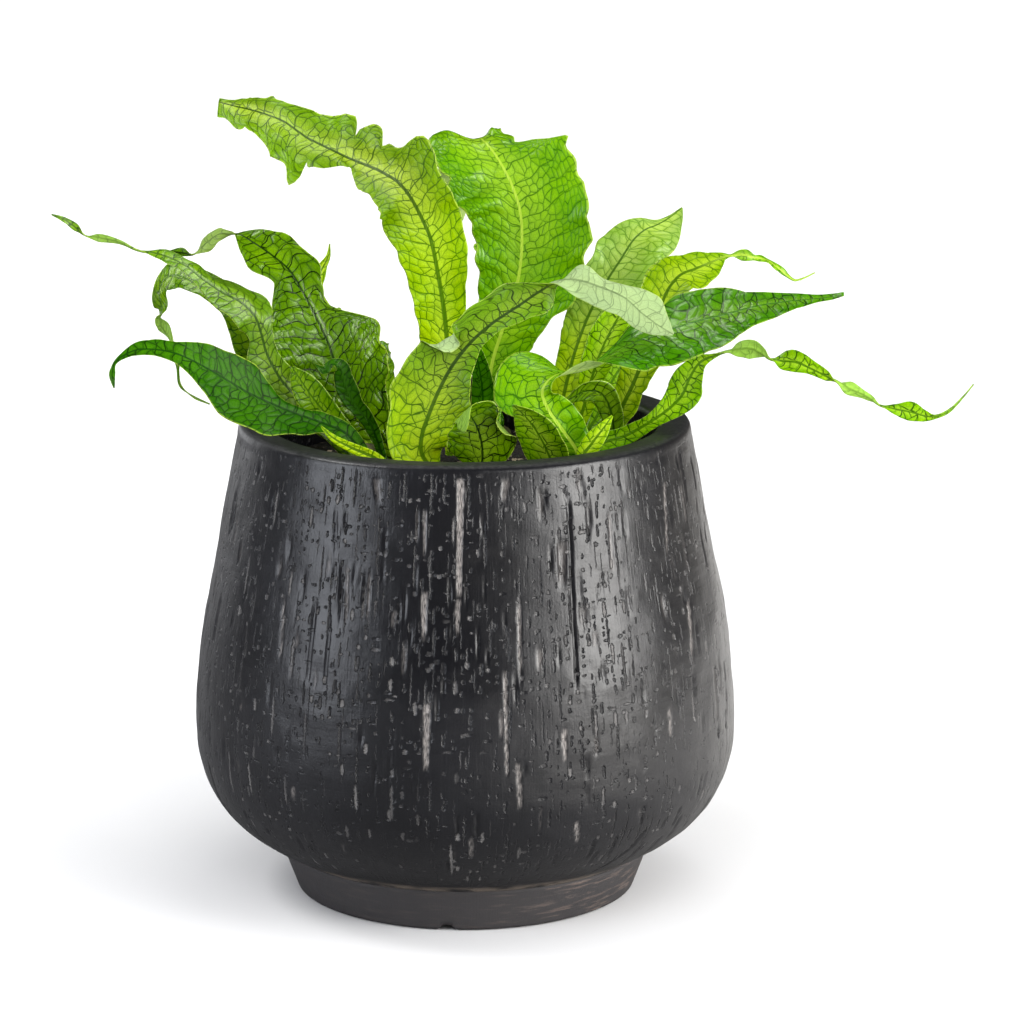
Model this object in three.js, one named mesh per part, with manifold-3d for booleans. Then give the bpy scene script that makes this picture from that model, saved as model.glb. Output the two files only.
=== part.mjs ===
// A crocodile fern in a dark, round-bellied planter: the planter, the potting soil, three creeping
// rhizomes and one solid for each frond. Millimetres, +Z up. The origin is on the planter's axis, at the
// surface that it stands on, and the front of the planter faces -Y.

import * as THREE from "three";
import { mergeVertices } from "three/addons/utils/BufferGeometryUtils.js";
import Module from "manifold-3d";

const wasm = await Module();
wasm.setup();

// Driving sizes of the planter
const POT_HEIGHT = 247;
const FOOT_RADIUS = 89;
const FOOT_TOP_RADIUS = 96.7;
const FOOT_HEIGHT = 22.6;
const FLOOR_THICKNESS = 13;
const POT_SEGMENTS = 46;
const BELLY_RINGS = 11;

// Drainage: holes through the floor, each with a half-round groove in the underside, out to the foot's edge
const DRAIN_COUNT = 3;
const DRAIN_CIRCLE = 45;
const DRAIN_RADIUS = 6;
const HOLE_SIDES = 12;
const GROOVE_RADIUS = 5;
const GROOVE_RISE = -1.6;
const FRONT_GROOVE_ANGLE = THREE.MathUtils.degToRad(-95.5);

// Soil and rhizomes
const SOIL_TOP = 220;
const SOIL_CROWN = 3;
const SOIL_SHOULDER = 60;
const GAP = 0.35;
const RHIZOME_RADIUS = 5.5;
const RHIZOME_LIFT = 0.5;

// Fronds
const STALK_DEPTH = 11;
const CLEAR_OF_SOIL = 7;
const UPRIGHT = 4;
const STALK_THICKNESS = 3.2;
const STALK_FADE = 26;
const SOCKET_CLEARANCE = 0.8;
const SOCKET_FLOOR = 0.4;
const SOCKET_SIDES = 8;
const BLADE_THICKNESS = 0.8;
const LEAST_HALF_WIDTH = 0.3;
const MID_BLADE = 0.6;
const RIB_RISE = 0.75;
const RIB_HALF_WIDTH = 1.3;
const RIB_SHARE = 0.3;
const RIB_FADE = 0.3;
const RIB_ABOVE = 0.3;
const STATION = 11;
const SLIM_STATION = 10;
const SLIM_WIDTH = 36.5;
const DENSE = 14;
const FLAT = 1e-3;

// The fronds are drawn as they look from this point in front of the planter. A row's x and z are read on
// the plane through the planter's axis, and its y moves the point back or forward along the line of sight.
const EYE = new THREE.Vector3(25, -2150, 694);

// Each row of a frond is [x, z, y, half width on the left, half width on the right, roll in degrees]. Left
// and right are the sides as one looks from the foot to the tip at the face, and the roll turns the face
// about the midrib. foot is where the stalk stands in the soil, stalk is half its width, cup is how far each
// half bends towards the face, in degrees, lean is how far the face turns up where the frond runs sideways,
// and ruffle and lobe are the waves of the margin, out of the blade and in its outline, as shares of the
// half width. step is the distance between stations, where it is finer than on the other fronds.
const FRONDS = [
  {
    name: "frond_tall_left", foot: [-8, 24], step: 7.5,
    stalk: 2.4, cup: 14, ruffle: 0.09, lobe: 0.04, lean: 0.65,
    rows: [
      [-7, 250, 24, 6, 6, 0], [-8, 275, 23, 11, 9, 0], [-10, 300, 21, 15, 11, 0],
      [-13, 320, 18, 16, 15, 0], [-17, 340, 14, 19.5, 18.5, 0], [-22, 352, 11, 20.5, 19.5, 0],
      [-28, 363, 6, 20.5, 20.5, 0], [-34, 370, 2, 18, 25, 0], [-38.5, 373, 0, 15.5, 16, 0],
      [-44, 376, -3, 14, 15, 0], [-50, 378.5, -6, 13.5, 21.5, 0], [-55, 380.5, -9, 8, 17, 0],
      [-60, 382.5, -11, 5.5, 17, 0], [-67, 386, -15, 10, 19.5, 0], [-74, 389.5, -19, 13, 16, 0],
      [-79, 392, -22, 21, 14, 0], [-84, 395.5, -25, 18.5, 13, 0], [-91, 400.5, -29, 18.5, 10, 0],
      [-98, 403.5, -33, 14, 9, 0], [-107, 406.5, -38, 11.5, 6.5, 0], [-116, 408.5, -44, 8.5, 3.5, 0],
      [-124, 410.5, -49, 0.6, 0.6, 0],
    ],
  },
  {
    name: "frond_tall_middle", foot: [12, 34], stalk: 2.6, cup: 12, ruffle: 0.07, lobe: 0.06, lean: 0.2,
    rows: [
      [12, 255, 35, 5, 6, 0], [14, 275, 34, 7, 12, 0], [19, 292, 32, 12, 18, 0], [24, 307, 30, 18, 24, 0],
      [28, 322, 28, 22, 33, 0], [29.5, 340, 26, 25, 35, 0], [28.5, 355, 25, 26, 35.5, 0],
      [24.5, 368, 26, 31, 35, 0], [20, 377, 28.5, 33, 27, 5], [15, 385, 33.5, 32, 16, 12],
      [10, 390.5, 42, 29, 12, 20], [7, 391.5, 54, 26, 13, 20], [4, 385, 72, 20, 16, 15],
      [1, 370, 91, 13, 14, 5], [-1, 350, 104, 1, 1, 0],
    ],
  },
  {
    name: "frond_front_twisted", foot: [-14, -62], stalk: 2.6, cup: 10, ruffle: 0.07, lobe: 0.05, lean: 0.55,
    rows: [
      [-22, 228, -66, 14, 13, 0], [-22, 238, -67, 18, 17, 0], [-18, 250, -68, 21, 21, 0],
      [-13, 262, -69, 23, 18, 0], [-6, 275, -70, 19, 12, 0], [3, 286.5, -71, 13, 6.5, 0],
      [14, 296.5, -72, 13, 5.5, 0], [28, 306, -74, 13, 8, 0], [38, 313, -76, 6, 11, 20],
      [46, 317.5, -78, 3, 5, 90], [58, 319, -82, 8.5, 9, 165], [71, 315, -88, 10, 5.5, 170],
      [82, 310, -94, 9.5, 8.5, 165], [91, 302, -99, 8, 12, 165], [99, 296, -103, 6, 7.5, 170],
      [107, 291, -106, 0.6, 0.6, 170],
    ],
  },
  {
    name: "frond_left_broad", foot: [-36, -22], stalk: 2.5, cup: 12, ruffle: 0.07, lobe: 0.05, lean: 0.45,
    rows: [
      [-42, 237, -23, 6, 7, 0], [-51, 248, -25, 13, 15, 0], [-60, 260, -27, 22, 24, 5],
      [-66, 275, -28, 28, 28, 10], [-70, 287, -28, 31, 26, 10], [-76, 300, -27, 28, 12, 10],
      [-82, 312, -26, 19, 10.5, 5], [-89, 324, -24, 10.5, 13, 0], [-98, 332, -21, 12, 13, 0],
      [-108, 339, -17, 9, 8, 0], [-114, 342.5, -14, 4.5, 3.5, 30], [-119, 343.5, -12, 1.6, 1.6, 100],
      [-125, 342.5, -10, 3.8, 3.3, 175], [-132, 337.5, -8, 4.5, 4.5, 180],
      [-138, 332.5, -7, 1.3, 1.3, 240], [-144, 333.5, -6, 2, 2.5, 320], [-151, 334, -5, 0.5, 0.5, 340],
    ],
  },
  {
    name: "frond_left_folded", foot: [-56, -36], stalk: 2.3, cup: 8, ruffle: 0.06, lobe: 0.04, lean: 0.75,
    rows: [
      [-72, 243, -39, 5, 4, 0], [-84, 256, -43, 8, 7, 0], [-94, 267, -47, 9, 8, 0],
      [-101, 280, -51, 11, 6, 0], [-104, 291, -54, 7, 6, 0], [-107, 300, -57, 11, 8, 0],
      [-114, 307.5, -60, 10, 14, 0], [-124, 313, -63, 8.5, 10.5, 0], [-134, 320, -66, 5, 7, 0],
      [-142, 326.5, -69, 3.2, 3.2, 0], [-152, 331.5, -72, 3.5, 3.5, 0], [-160, 333.5, -75, 2.5, 1.5, 30],
      [-167, 335, -77, 0.8, 0.8, 90], [-176, 339, -79, 1.2, 1.2, 150], [-186, 341, -81, 2.2, 2.2, 180],
      [-193, 342, -83, 0.8, 0.8, 250], [-198, 346.5, -85, 1.9, 1.9, 330],
      [-204, 350.5, -87, 1.4, 1.4, 360], [-210, 353, -89, 0.4, 0.4, 360],
    ],
  },
  {
    name: "frond_left_drooping", foot: [-44, -58], stalk: 2.5, cup: 10, ruffle: 0.05, lobe: 0.03, lean: 0.8,
    rows: [
      [-60, 238, -60, 5, 5, 0], [-73, 244.5, -63, 7, 6, 0], [-84, 248.5, -67, 11, 4, 0],
      [-94, 252.5, -71, 15, 5, 0], [-103, 256.5, -75, 18, 10, 0], [-112, 261, -79, 19, 14.5, 0],
      [-121, 266.5, -83, 18, 14.5, 0], [-130, 272, -87, 13, 12.5, 0], [-139, 277, -90, 8, 10.5, 0],
      [-148, 281, -93, 5, 6.5, 0], [-158, 283, -95, 3.5, 5.5, 0], [-167, 283, -97, 3, 4.2, 0],
      [-174, 280.5, -98, 2, 2, 0], [-179.5, 276, -99, 1, 1, 0], [-181, 270, -100, 1.7, 1.7, 0],
      [-180, 263, -101, 0.4, 0.4, 0],
    ],
  },
  {
    name: "frond_left_curled", foot: [-60, -2], stalk: 2.3, cup: 10, ruffle: 0.08, lobe: 0.05, lean: 0.6,
    rows: [
      [-84, 252, -3, 7, 7, 0], [-98, 268, -4, 10, 11, 0], [-108, 285, -6, 11, 12, 0],
      [-117, 299.5, -8, 6, 11, 0], [-128, 311, -11, 4, 10, 0], [-139, 318.5, -15, 5.5, 8, 0],
      [-148, 322, -21, 7, 6.5, 0], [-154.5, 318, -27, 6, 4.5, 0], [-156, 311, -30, 4, 4.4, 40],
      [-154.5, 304, -31, 3.6, 4, 120], [-156.5, 299, -31, 2.6, 2.6, 200], [-153, 292.5, -31, 3.6, 4, 300],
      [-148.5, 284, -30, 3.2, 3.2, 360], [-147, 274, -30, 1, 1, 420], [-146, 264.5, -30, 1.1, 1.1, 480],
      [-139.5, 258.5, -30, 1.6, 1.6, 540], [-131, 254.5, -30, 0.4, 0.4, 560],
    ],
  },
  {
    name: "frond_behind_left", foot: [-34, 18], stalk: 2, cup: 10, ruffle: 0.08, lobe: 0.05, lean: 0.2,
    rows: [
      [-50, 255, 17, 5, 5, 0], [-61, 278, 18, 8, 9, 0], [-71, 299, 19, 6, 6, 0], [-76, 313, 20, 4, 4, 0],
      [-73, 324, 21, 3, 3, 20], [-69.5, 331.5, 22, 1.8, 1.8, 50], [-68.5, 338, 23, 0.4, 0.4, 60],
    ],
  },
  {
    name: "frond_left_inner", foot: [-46, -46], stalk: 2, cup: 16, ruffle: 0.05, lobe: 0.02, lean: 0.2,
    rows: [
      [-60, 239, -49, 4, 4, 0], [-70, 248, -51, 7, 7, 0], [-78, 258, -54, 8.5, 8, 0],
      [-84, 267, -57, 6, 6, 0], [-88.5, 274, -60, 0.8, 0.8, 0],
    ],
  },
  {
    name: "frond_left_crinkled", foot: [-40, -38], stalk: 1.9, cup: 18, ruffle: 0.12, lobe: 0.07, lean: 0.2,
    rows: [
      [-48, 243, -40, 3.5, 3.5, 0], [-56, 254, -42, 5, 5, 0], [-61, 265, -44, 6, 5, 0],
      [-63.5, 274, -46, 4, 4, 20], [-68, 276, -48, 2.5, 2.5, 60], [-72, 272.5, -49, 2.5, 2.5, 20],
      [-76.5, 275.5, -50, 0.6, 0.6, 0],
    ],
  },
  {
    name: "frond_rim_left", foot: [-32, -68], stalk: 1.6, cup: 10, ruffle: 0.05, lobe: 0, lean: 0.2,
    rows: [
      [-46, 226, -70, 3, 3, 0], [-58, 231.5, -72, 2.6, 2.6, 0], [-68, 237, -74, 1.8, 1.8, 0],
      [-74, 243, -75, 0.4, 0.4, 0],
    ],
  },
  {
    name: "frond_middle_dark", foot: [8, 2], stalk: 2, cup: 15, ruffle: 0.06, lobe: 0.04, lean: 0.2,
    rows: [
      [9, 243, 1, 5, 5, 0], [9.5, 256, 0, 6, 6, 0], [8.5, 268, -1, 5, 6, 0], [6, 281, -3, 3.5, 4, 0],
      [4, 290, -5, 0.6, 0.6, 0],
    ],
  },
  {
    name: "frond_front_rolled", foot: [9, -73], stalk: 2.2, cup: 8, ruffle: 0.07, lobe: 0.05, lean: 0.2,
    rows: [
      [9, 222, -77, 9, 9, 0], [9, 232, -79, 17, 17, 0], [7, 241, -80, 16, 17, 0],
      [3, 248.5, -82, 11, 12, 0], [0, 250, -87, 7.5, 7, 0], [-1, 245, -91, 6.5, 6, 0],
      [-2, 240.5, -91, 4, 3.5, 0],
    ],
  },
  {
    name: "frond_front_light", foot: [40, -72], stalk: 2.1, cup: 14, ruffle: 0.05, lobe: 0.03, lean: 0.2,
    rows: [
      [45, 222, -77, 8, 8, 0], [42, 231, -80, 11, 11, 0], [37, 240.5, -84, 10.5, 10, 0],
      [31, 248.5, -88, 6.5, 6, 0], [25, 254, -92, 0.8, 0.8, 0],
    ],
  },
  {
    name: "frond_right_sweeping", foot: [56, -52], stalk: 2.6, cup: 10, ruffle: 0.05, lobe: 0.03, lean: 0.75,
    rows: [
      [58, 229, -58, 8, 8, 0], [51, 240, -62, 12, 12, 0], [43.5, 251, -65, 16, 11, 0],
      [40, 261, -66, 22, 7, 0], [45, 268.5, -66, 21, 5, -35], [55, 272, -65, 17, 9, -65],
      [67, 275, -64, 14, 15, -60], [79, 282, -64, 13, 21, -40], [91, 288.5, -65, 14, 24, -20],
      [106, 293.5, -68, 17.5, 22, -8], [120, 298, -72, 17.5, 21, 0], [134, 301.5, -76, 15, 18, 0],
      [149, 305.5, -80, 8, 11.5, 0], [165, 308, -84, 5, 6.5, 0], [180, 309.5, -88, 2.3, 2.5, 0],
      [188, 310.5, -90, 1.8, 1.8, 0], [194, 312, -92, 1.2, 1.2, 0],
    ],
  },
  {
    name: "frond_right_upright", foot: [46, 34], stalk: 2.4, cup: 12, ruffle: 0.07, lobe: 0.05, lean: 0.45,
    rows: [
      [50, 255, 34, 6, 6, 0], [53.5, 270, 33, 8, 8, 0], [57, 283, 33, 9, 11, 0], [62, 297, 33, 12, 12, 0],
      [67, 308, 34, 14, 13, 0], [73, 319, 36, 15, 16, 0], [80, 330, 39, 15, 20, 0],
      [86, 339.5, 43, 13, 22, 0], [92, 345, 47, 8, 21, 0], [98, 347.5, 51, 3.5, 17, 0],
      [104, 351, 55, 1.5, 11, 0], [111, 356.5, 59, 0.5, 0.6, 0],
    ],
  },
  {
    name: "frond_right_curly", foot: [70, 6], stalk: 2.3, cup: 8, ruffle: 0.07, lobe: 0.08, lean: 0.65,
    rows: [
      [75, 241, 4, 6, 5, 0], [80.5, 252, 3, 8, 7, 0], [87, 266, 2, 9, 8, 0], [94, 284, 1, 10, 9, 0],
      [99, 300, 0, 11, 9, 0], [103.5, 313, 0, 14, 10, 0], [110, 321.5, 1, 13, 11, 0],
      [118, 325, 3, 9.5, 11.5, 0], [126.5, 328.5, 6, 6.5, 8, 0], [132, 331, 8, 3, 3, 0],
      [136.5, 331.8, 10, 1, 1.2, 30], [142, 332.5, 13, 3.6, 3.4, 60], [148, 330.8, 16, 1.5, 2, 20],
      [154, 329.5, 19, 3.2, 2.7, -30], [160, 325.5, 22, 2.5, 2.4, 0], [165, 321.5, 25, 1.9, 1, 40],
      [169, 319.2, 28, 0.8, 0.8, 60], [174, 320.5, 31, 0.6, 0.6, 60], [179, 323, 34, 0.4, 0.4, 60],
    ],
  },
  {
    name: "frond_right_middle", foot: [56, 16], stalk: 2.1, cup: 10, ruffle: 0.08, lobe: 0.05, lean: 0.2,
    rows: [
      [61, 252, 16, 5, 5, 0], [65, 267, 15, 7, 7, 0], [70, 282, 14, 9, 8, 0], [76, 295, 14, 9, 8, 0],
      [82, 305, 14, 5, 5, 0], [87, 312, 14, 0.8, 0.8, 0],
    ],
  },
  {
    name: "frond_right_ribbon", foot: [60, -22], stalk: 2.3, cup: 8, ruffle: 0.06, lobe: 0.05, lean: 0.7,
    rows: [
      [70, 233.5, -25, 5, 5, 0], [83, 238, -28, 5, 5, 10], [95, 245, -31, 4, 4, 25],
      [105, 252, -32, 6, 6, 10], [112, 259.5, -32, 9, 9, 0], [115.5, 268, -33, 8.5, 7.5, 0],
      [120.5, 276, -34, 4.5, 4, 0], [127, 279.5, -36, 1.7, 1.7, 30], [134, 281.5, -38, 1.2, 1.2, 100],
      [140, 283, -40, 3.8, 4.2, 170], [147, 283.5, -42, 5.3, 4.8, 180], [153, 281, -44, 2.7, 3.2, 210],
      [157, 278.5, -45, 1, 1, 270], [163, 277, -46, 4.8, 4.2, 345], [170, 276.5, -48, 6.3, 5.3, 360],
      [178, 273, -50, 4.2, 3.2, 360], [186, 269, -52, 2.7, 2.2, 370], [191, 266, -53, 1, 1, 450],
      [197, 263, -54, 3.5, 3.8, 530], [204, 260, -55, 2.2, 2.5, 540], [209, 257.5, -56, 1.6, 1.6, 560],
      [214, 254, -57, 0.8, 0.8, 640], [221, 252, -58, 2.7, 2.7, 710], [229, 250.5, -59, 5.2, 4.8, 720],
      [236, 248.5, -60, 3.2, 3.2, 720], [242, 248, -61, 1.1, 1.3, 740], [249, 251, -62, 1.2, 1.2, 760],
      [256, 258, -62, 0.9, 0.9, 780], [261.5, 265, -62, 0.4, 0.4, 780],
    ],
  },
  {
    name: "frond_right_arched", foot: [78, -8], stalk: 1.9, cup: 14, ruffle: 0.05, lobe: 0.03, lean: 0.2,
    rows: [
      [77, 240, -12, 5, 5, 0], [75, 252, -15, 6, 6, 0], [70, 260.5, -19, 6.5, 7, 0],
      [62, 261.5, -23, 6, 6.5, 0], [55, 258, -26, 3.5, 3.5, 0], [50.5, 254.5, -28, 0.8, 0.8, 0],
    ],
  },
  {
    name: "frond_right_tip", foot: [58, -70], stalk: 1.7, cup: 12, ruffle: 0.04, lobe: 0.02, lean: 0.2,
    rows: [
      [61, 227, -70, 4, 4, 0], [66, 234.5, -69, 5, 5, 0], [71.5, 242, -67, 3.4, 3.4, 0],
      [76, 248.5, -65, 0.5, 0.5, 0],
    ],
  },
  {
    name: "frond_back_tall", foot: [16, 58], stalk: 2.4, cup: 14, ruffle: 0.09, lobe: 0.07, lean: 0.2,
    rows: [
      [16, 258, 62, 4, 4, 0], [18, 281, 70, 7, 7, 0], [22, 304, 83, 13, 13, 0], [27, 322, 103, 22, 21, 0],
      [30, 330, 128, 26, 26, 0], [30, 322, 156, 21, 21, 0], [29, 304, 182, 11, 11, 0],
      [28, 283, 206, 0.8, 0.8, 0],
    ],
  },
  {
    name: "frond_back_left", foot: [-52, 40], stalk: 2.2, cup: 14, ruffle: 0.09, lobe: 0.07, lean: 0.2,
    rows: [
      [-56, 255, 46, 6, 6, 0], [-62, 275, 57, 13, 12, 0], [-71, 289, 78, 20, 18, 0],
      [-79, 293, 106, 21, 19, 0], [-84, 290, 138, 15, 15, 0], [-88, 271, 168, 0.8, 0.8, 0],
    ],
  },
  {
    name: "frond_back_right", foot: [64, 40], stalk: 2.2, cup: 14, ruffle: 0.09, lobe: 0.07, lean: 0.2,
    rows: [
      [69, 250, 46, 4, 4, 0], [76, 267, 56, 8, 8, 0], [86, 281, 74, 14, 14, 0], [97, 290, 98, 18, 17, 0],
      [106, 291, 124, 16, 15, 0], [113, 284, 150, 9, 9, 0], [119, 271, 174, 0.8, 0.8, 0],
    ],
  },
  {
    name: "frond_back_middle", foot: [-14, 62], stalk: 2.2, cup: 12, ruffle: 0.09, lobe: 0.07, lean: 0.2,
    rows: [
      [-14, 258, 68, 5, 5, 0], [-13, 281, 78, 9, 9, 0], [-11, 297, 96, 13, 13, 0],
      [-9, 303, 122, 14, 14, 0], [-9, 297, 150, 11, 11, 0], [-9, 280, 178, 0.8, 0.8, 0],
    ],
  },
  {
    name: "frond_back_low_left", foot: [-34, 58], stalk: 2.1, cup: 14, ruffle: 0.09, lobe: 0.07, lean: 0.2,
    rows: [
      [-37, 249, 66, 4, 4, 0], [-43, 265, 78, 9, 9, 0], [-49, 275, 98, 14, 14, 0],
      [-54, 278, 122, 17, 17, 0], [-57, 272, 146, 14, 14, 0], [-59, 259, 168, 8, 8, 0],
      [-60, 243, 184, 0.8, 0.8, 0],
    ],
  },
  {
    name: "frond_back_low_right", foot: [18, 78], stalk: 2.1, cup: 14, ruffle: 0.09, lobe: 0.07, lean: 0.2,
    rows: [
      [16, 250, 84, 4, 4, 0], [15, 268, 93, 8, 8, 0], [15, 280, 110, 12, 12, 0],
      [16, 286, 132, 15, 15, 0], [17, 281, 154, 13, 13, 0], [18, 269, 174, 8, 8, 0],
      [18, 252, 192, 0.8, 0.8, 0],
    ],
  },
  {
    name: "frond_young_left", foot: [-22, -2], stalk: 1.9, cup: 14, ruffle: 0.08, lobe: 0.06, lean: 0.2,
    rows: [
      [-22, 246, -1, 4, 4, 0], [-21, 260, -4, 8, 8, 0], [-17, 272, -9, 9, 9, 20],
      [-12, 280, -17, 8, 8, 40], [-6, 279, -28, 0.8, 0.8, 50],
    ],
  },
  {
    name: "frond_young_right", foot: [34, -22], stalk: 1.9, cup: 14, ruffle: 0.08, lobe: 0.06, lean: 0.2,
    rows: [
      [34, 244, -24, 4, 4, 0], [34, 256, -22, 8, 8, -20], [33, 267, -16, 9, 9, -40],
      [31, 272, -4, 7, 7, -50], [29, 268, 8, 0.8, 0.8, -50],
    ],
  },
];

// Each rhizome creeps along these points at the soil's surface, half sunk in it. The stalks that it carries
// stand in holes through it, and the other fronds stand in the soil alone.
const RHIZOMES = [
  {
    name: "rhizome_left",
    points: [[-65, -16], [-60, -2], [-55, 20], [-52, 40], [-45, 54]],
  },
  {
    name: "rhizome_middle",
    points: [[-20, -76], [-14, -62], [-2, -30], [8, 2], [12, 34], [16, 58], [18, 78], [20, 88]],
  },
  {
    name: "rhizome_right",
    points: [[59, -78], [58, -70], [56, -52], [60, -22], [70, 6], [71, 24], [64, 40], [54, 52]],
  },
];

const TOWARDS_FRONT = new THREE.Vector3(0, -1, 0);
const UP = new THREE.Vector3(0, 0, 1);
const POT_BLACK = { color: 0x26272a, roughness: 0.5, metalness: 0 };
const SOIL_BROWN = { color: 0x2c2018, roughness: 0.95, metalness: 0 };
const RHIZOME_GREEN = { color: 0x5f6b33, roughness: 0.7, metalness: 0 };
const FROND_GREEN = { color: 0x6aa51f, roughness: 0.4, metalness: 0 };

// Solids and meshes

function solidOf(geometry) {
  const bare = new THREE.BufferGeometry();
  bare.setAttribute("position", geometry.getAttribute("position"));
  if (geometry.index) bare.setIndex(geometry.index);
  const merged = mergeVertices(bare, 1e-3);
  const faces = [];
  for (let i = 0; i < merged.index.count; i += 3) {
    const [a, b, c] = [0, 1, 2].map((k) => merged.index.getX(i + k));
    if (a !== b && b !== c && c !== a) faces.push(a, b, c);
  }
  const mesh = new wasm.Mesh({
    numProp: 3,
    vertProperties: new Float32Array(merged.attributes.position.array),
    triVerts: new Uint32Array(faces),
  });
  return new wasm.Manifold(mesh);
}

function geometryOf(solid) {
  const { numProp, numVert, vertProperties, triVerts } = solid.getMesh();
  const position = new Float32Array(numVert * 3);
  for (let i = 0; i < numVert; i++) {
    const start = i * numProp;
    position.set(vertProperties.subarray(start, start + 3), i * 3);
  }
  const geometry = new THREE.BufferGeometry();
  geometry.setAttribute("position", new THREE.BufferAttribute(position, 3));
  geometry.setIndex(new THREE.BufferAttribute(new Uint32Array(triVerts), 1));
  geometry.computeVertexNormals();
  return geometry;
}

function meshOf(name, geometry, look) {
  const mesh = new THREE.Mesh(geometry, new THREE.MeshStandardMaterial(look));
  mesh.name = name;
  return mesh;
}

function turned(profile, segments) {
  return new THREE.LatheGeometry(profile, segments).rotateX(Math.PI / 2);
}

function uprightCylinder(radius, bottom, top, x, y, sides) {
  const cylinder = new THREE.CylinderGeometry(radius, radius, top - bottom, sides);
  return cylinder.rotateX(Math.PI / 2).translate(x, y, (top + bottom) / 2);
}

// Planter

const vectors = (pairs) => pairs.map(([r, z]) => new THREE.Vector2(r, z));

const BELLY = vectors([
  [FOOT_TOP_RADIUS, FOOT_HEIGHT + 1], [111.3, 32], [124.2, 42.5], [133.3, 55.5], [138.8, 71], [140.5, 88],
  [139.3, 112], [135.3, 145], [128.1, 180], [121.8, 215], [116.9, 240],
]);
const INNER_WALL = vectors([[98.8, 242], [116, 165], [127, 90], [109, 46], [70, FLOOR_THICKNESS]]);
const RIM = vectors([[115.3, 244.5], [111.5, POT_HEIGHT], [102, POT_HEIGHT], [99.5, 245.5]]);

function planter() {
  const profile = [
    ...vectors([[0, 0], [FOOT_RADIUS - 2, 0], [FOOT_RADIUS, 2], [FOOT_TOP_RADIUS, FOOT_HEIGHT]]),
    ...new THREE.SplineCurve(BELLY).getPoints(BELLY_RINGS),
    ...RIM,
    ...INNER_WALL,
    new THREE.Vector2(0, FLOOR_THICKNESS),
  ];
  let solid = solidOf(turned(profile, POT_SEGMENTS));
  for (let i = 0; i < DRAIN_COUNT; i++) {
    const angle = FRONT_GROOVE_ANGLE + (i * 2 * Math.PI) / DRAIN_COUNT;
    const [x, y] = [DRAIN_CIRCLE * Math.cos(angle), DRAIN_CIRCLE * Math.sin(angle)];
    solid = solid.subtract(solidOf(uprightCylinder(DRAIN_RADIUS, -1, FLOOR_THICKNESS + 1, x, y, HOLE_SIDES)));
    const reach = FOOT_TOP_RADIUS - DRAIN_CIRCLE;
    const groove = new THREE.CylinderGeometry(GROOVE_RADIUS, GROOVE_RADIUS, reach, HOLE_SIDES);
    groove.rotateZ(Math.PI / 2).translate(DRAIN_CIRCLE + reach / 2, 0, GROOVE_RISE).rotateZ(angle);
    solid = solid.subtract(solidOf(groove));
  }
  return geometryOf(solid);
}

// Fronds

// A row's place in space: on the line of sight from the eye through [x, 0, z], at depth y.
function placed([x, z, y, left, right, roll]) {
  const reach = (y - EYE.y) / -EYE.y;
  return [EYE.x + (x - EYE.x) * reach, y, EYE.z + (z - EYE.z) * reach, left, right, roll];
}

// A smooth curve through the keys, lists of numbers that start with x, y and z, with DENSE samples a span.
function smooth(keys) {
  const knots = [0];
  for (let i = 1; i < keys.length; i++) {
    const step = Math.hypot(...[0, 1, 2].map((k) => keys[i][k] - keys[i - 1][k]));
    knots.push(knots[i - 1] + Math.sqrt(step));
  }
  const slope = (i) => {
    const [a, b] = [Math.max(i - 1, 0), Math.min(i + 1, keys.length - 1)];
    return keys[i].map((_, k) => (keys[b][k] - keys[a][k]) / (knots[b] - knots[a]));
  };
  const samples = [];
  for (let i = 0; i + 1 < keys.length; i++) {
    const [span, from, to] = [knots[i + 1] - knots[i], slope(i), slope(i + 1)];
    const last = i + 2 === keys.length ? DENSE : DENSE - 1;
    for (let j = 0; j <= last; j++) {
      const t = j / DENSE;
      const [h0, h1] = [(1 + 2 * t) * (1 - t) ** 2, t * t * (3 - 2 * t)];
      const [g0, g1] = [t * (1 - t) ** 2 * span, t * t * (t - 1) * span];
      samples.push(keys[i].map((p, k) => h0 * p + h1 * keys[i + 1][k] + g0 * from[k] + g1 * to[k]));
    }
  }
  return samples;
}

// The midrib of a frond: points with their distance from the foot, direction, face normal and half widths.
function midrib(frond) {
  const [x, y] = frond.foot;
  const keys = [
    [x, y, SOIL_TOP - STALK_DEPTH, frond.stalk, frond.stalk, 0],
    [x, y, SOIL_TOP + CLEAR_OF_SOIL, frond.stalk, frond.stalk, 0],
    [x, y, SOIL_TOP + CLEAR_OF_SOIL + UPRIGHT, frond.stalk, frond.stalk, 0],
    ...frond.rows.map(placed),
  ];
  const samples = smooth(keys);
  const points = samples.map((s) => new THREE.Vector3(s[0], s[1], s[2]));
  const normal = TOWARDS_FRONT.clone();
  let distance = 0;
  return points.map((point, i) => {
    const ahead = points[Math.min(i + 1, points.length - 1)];
    const along = ahead.clone().sub(points[Math.max(i - 1, 0)]).normalize();
    normal.addScaledVector(along, -normal.dot(along)).normalize();
    if (i) distance += point.distanceTo(points[i - 1]);
    const upwards = UP.clone().addScaledVector(along, -UP.dot(along));
    const face = normal.clone().addScaledVector(upwards, frond.lean).normalize();
    face.applyAxisAngle(along, THREE.MathUtils.degToRad(samples[i][5]));
    const [left, right] = [3, 4].map((k) => Math.max(samples[i][k], LEAST_HALF_WIDTH));
    return { point, along, face, distance, left, right };
  });
}

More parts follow.
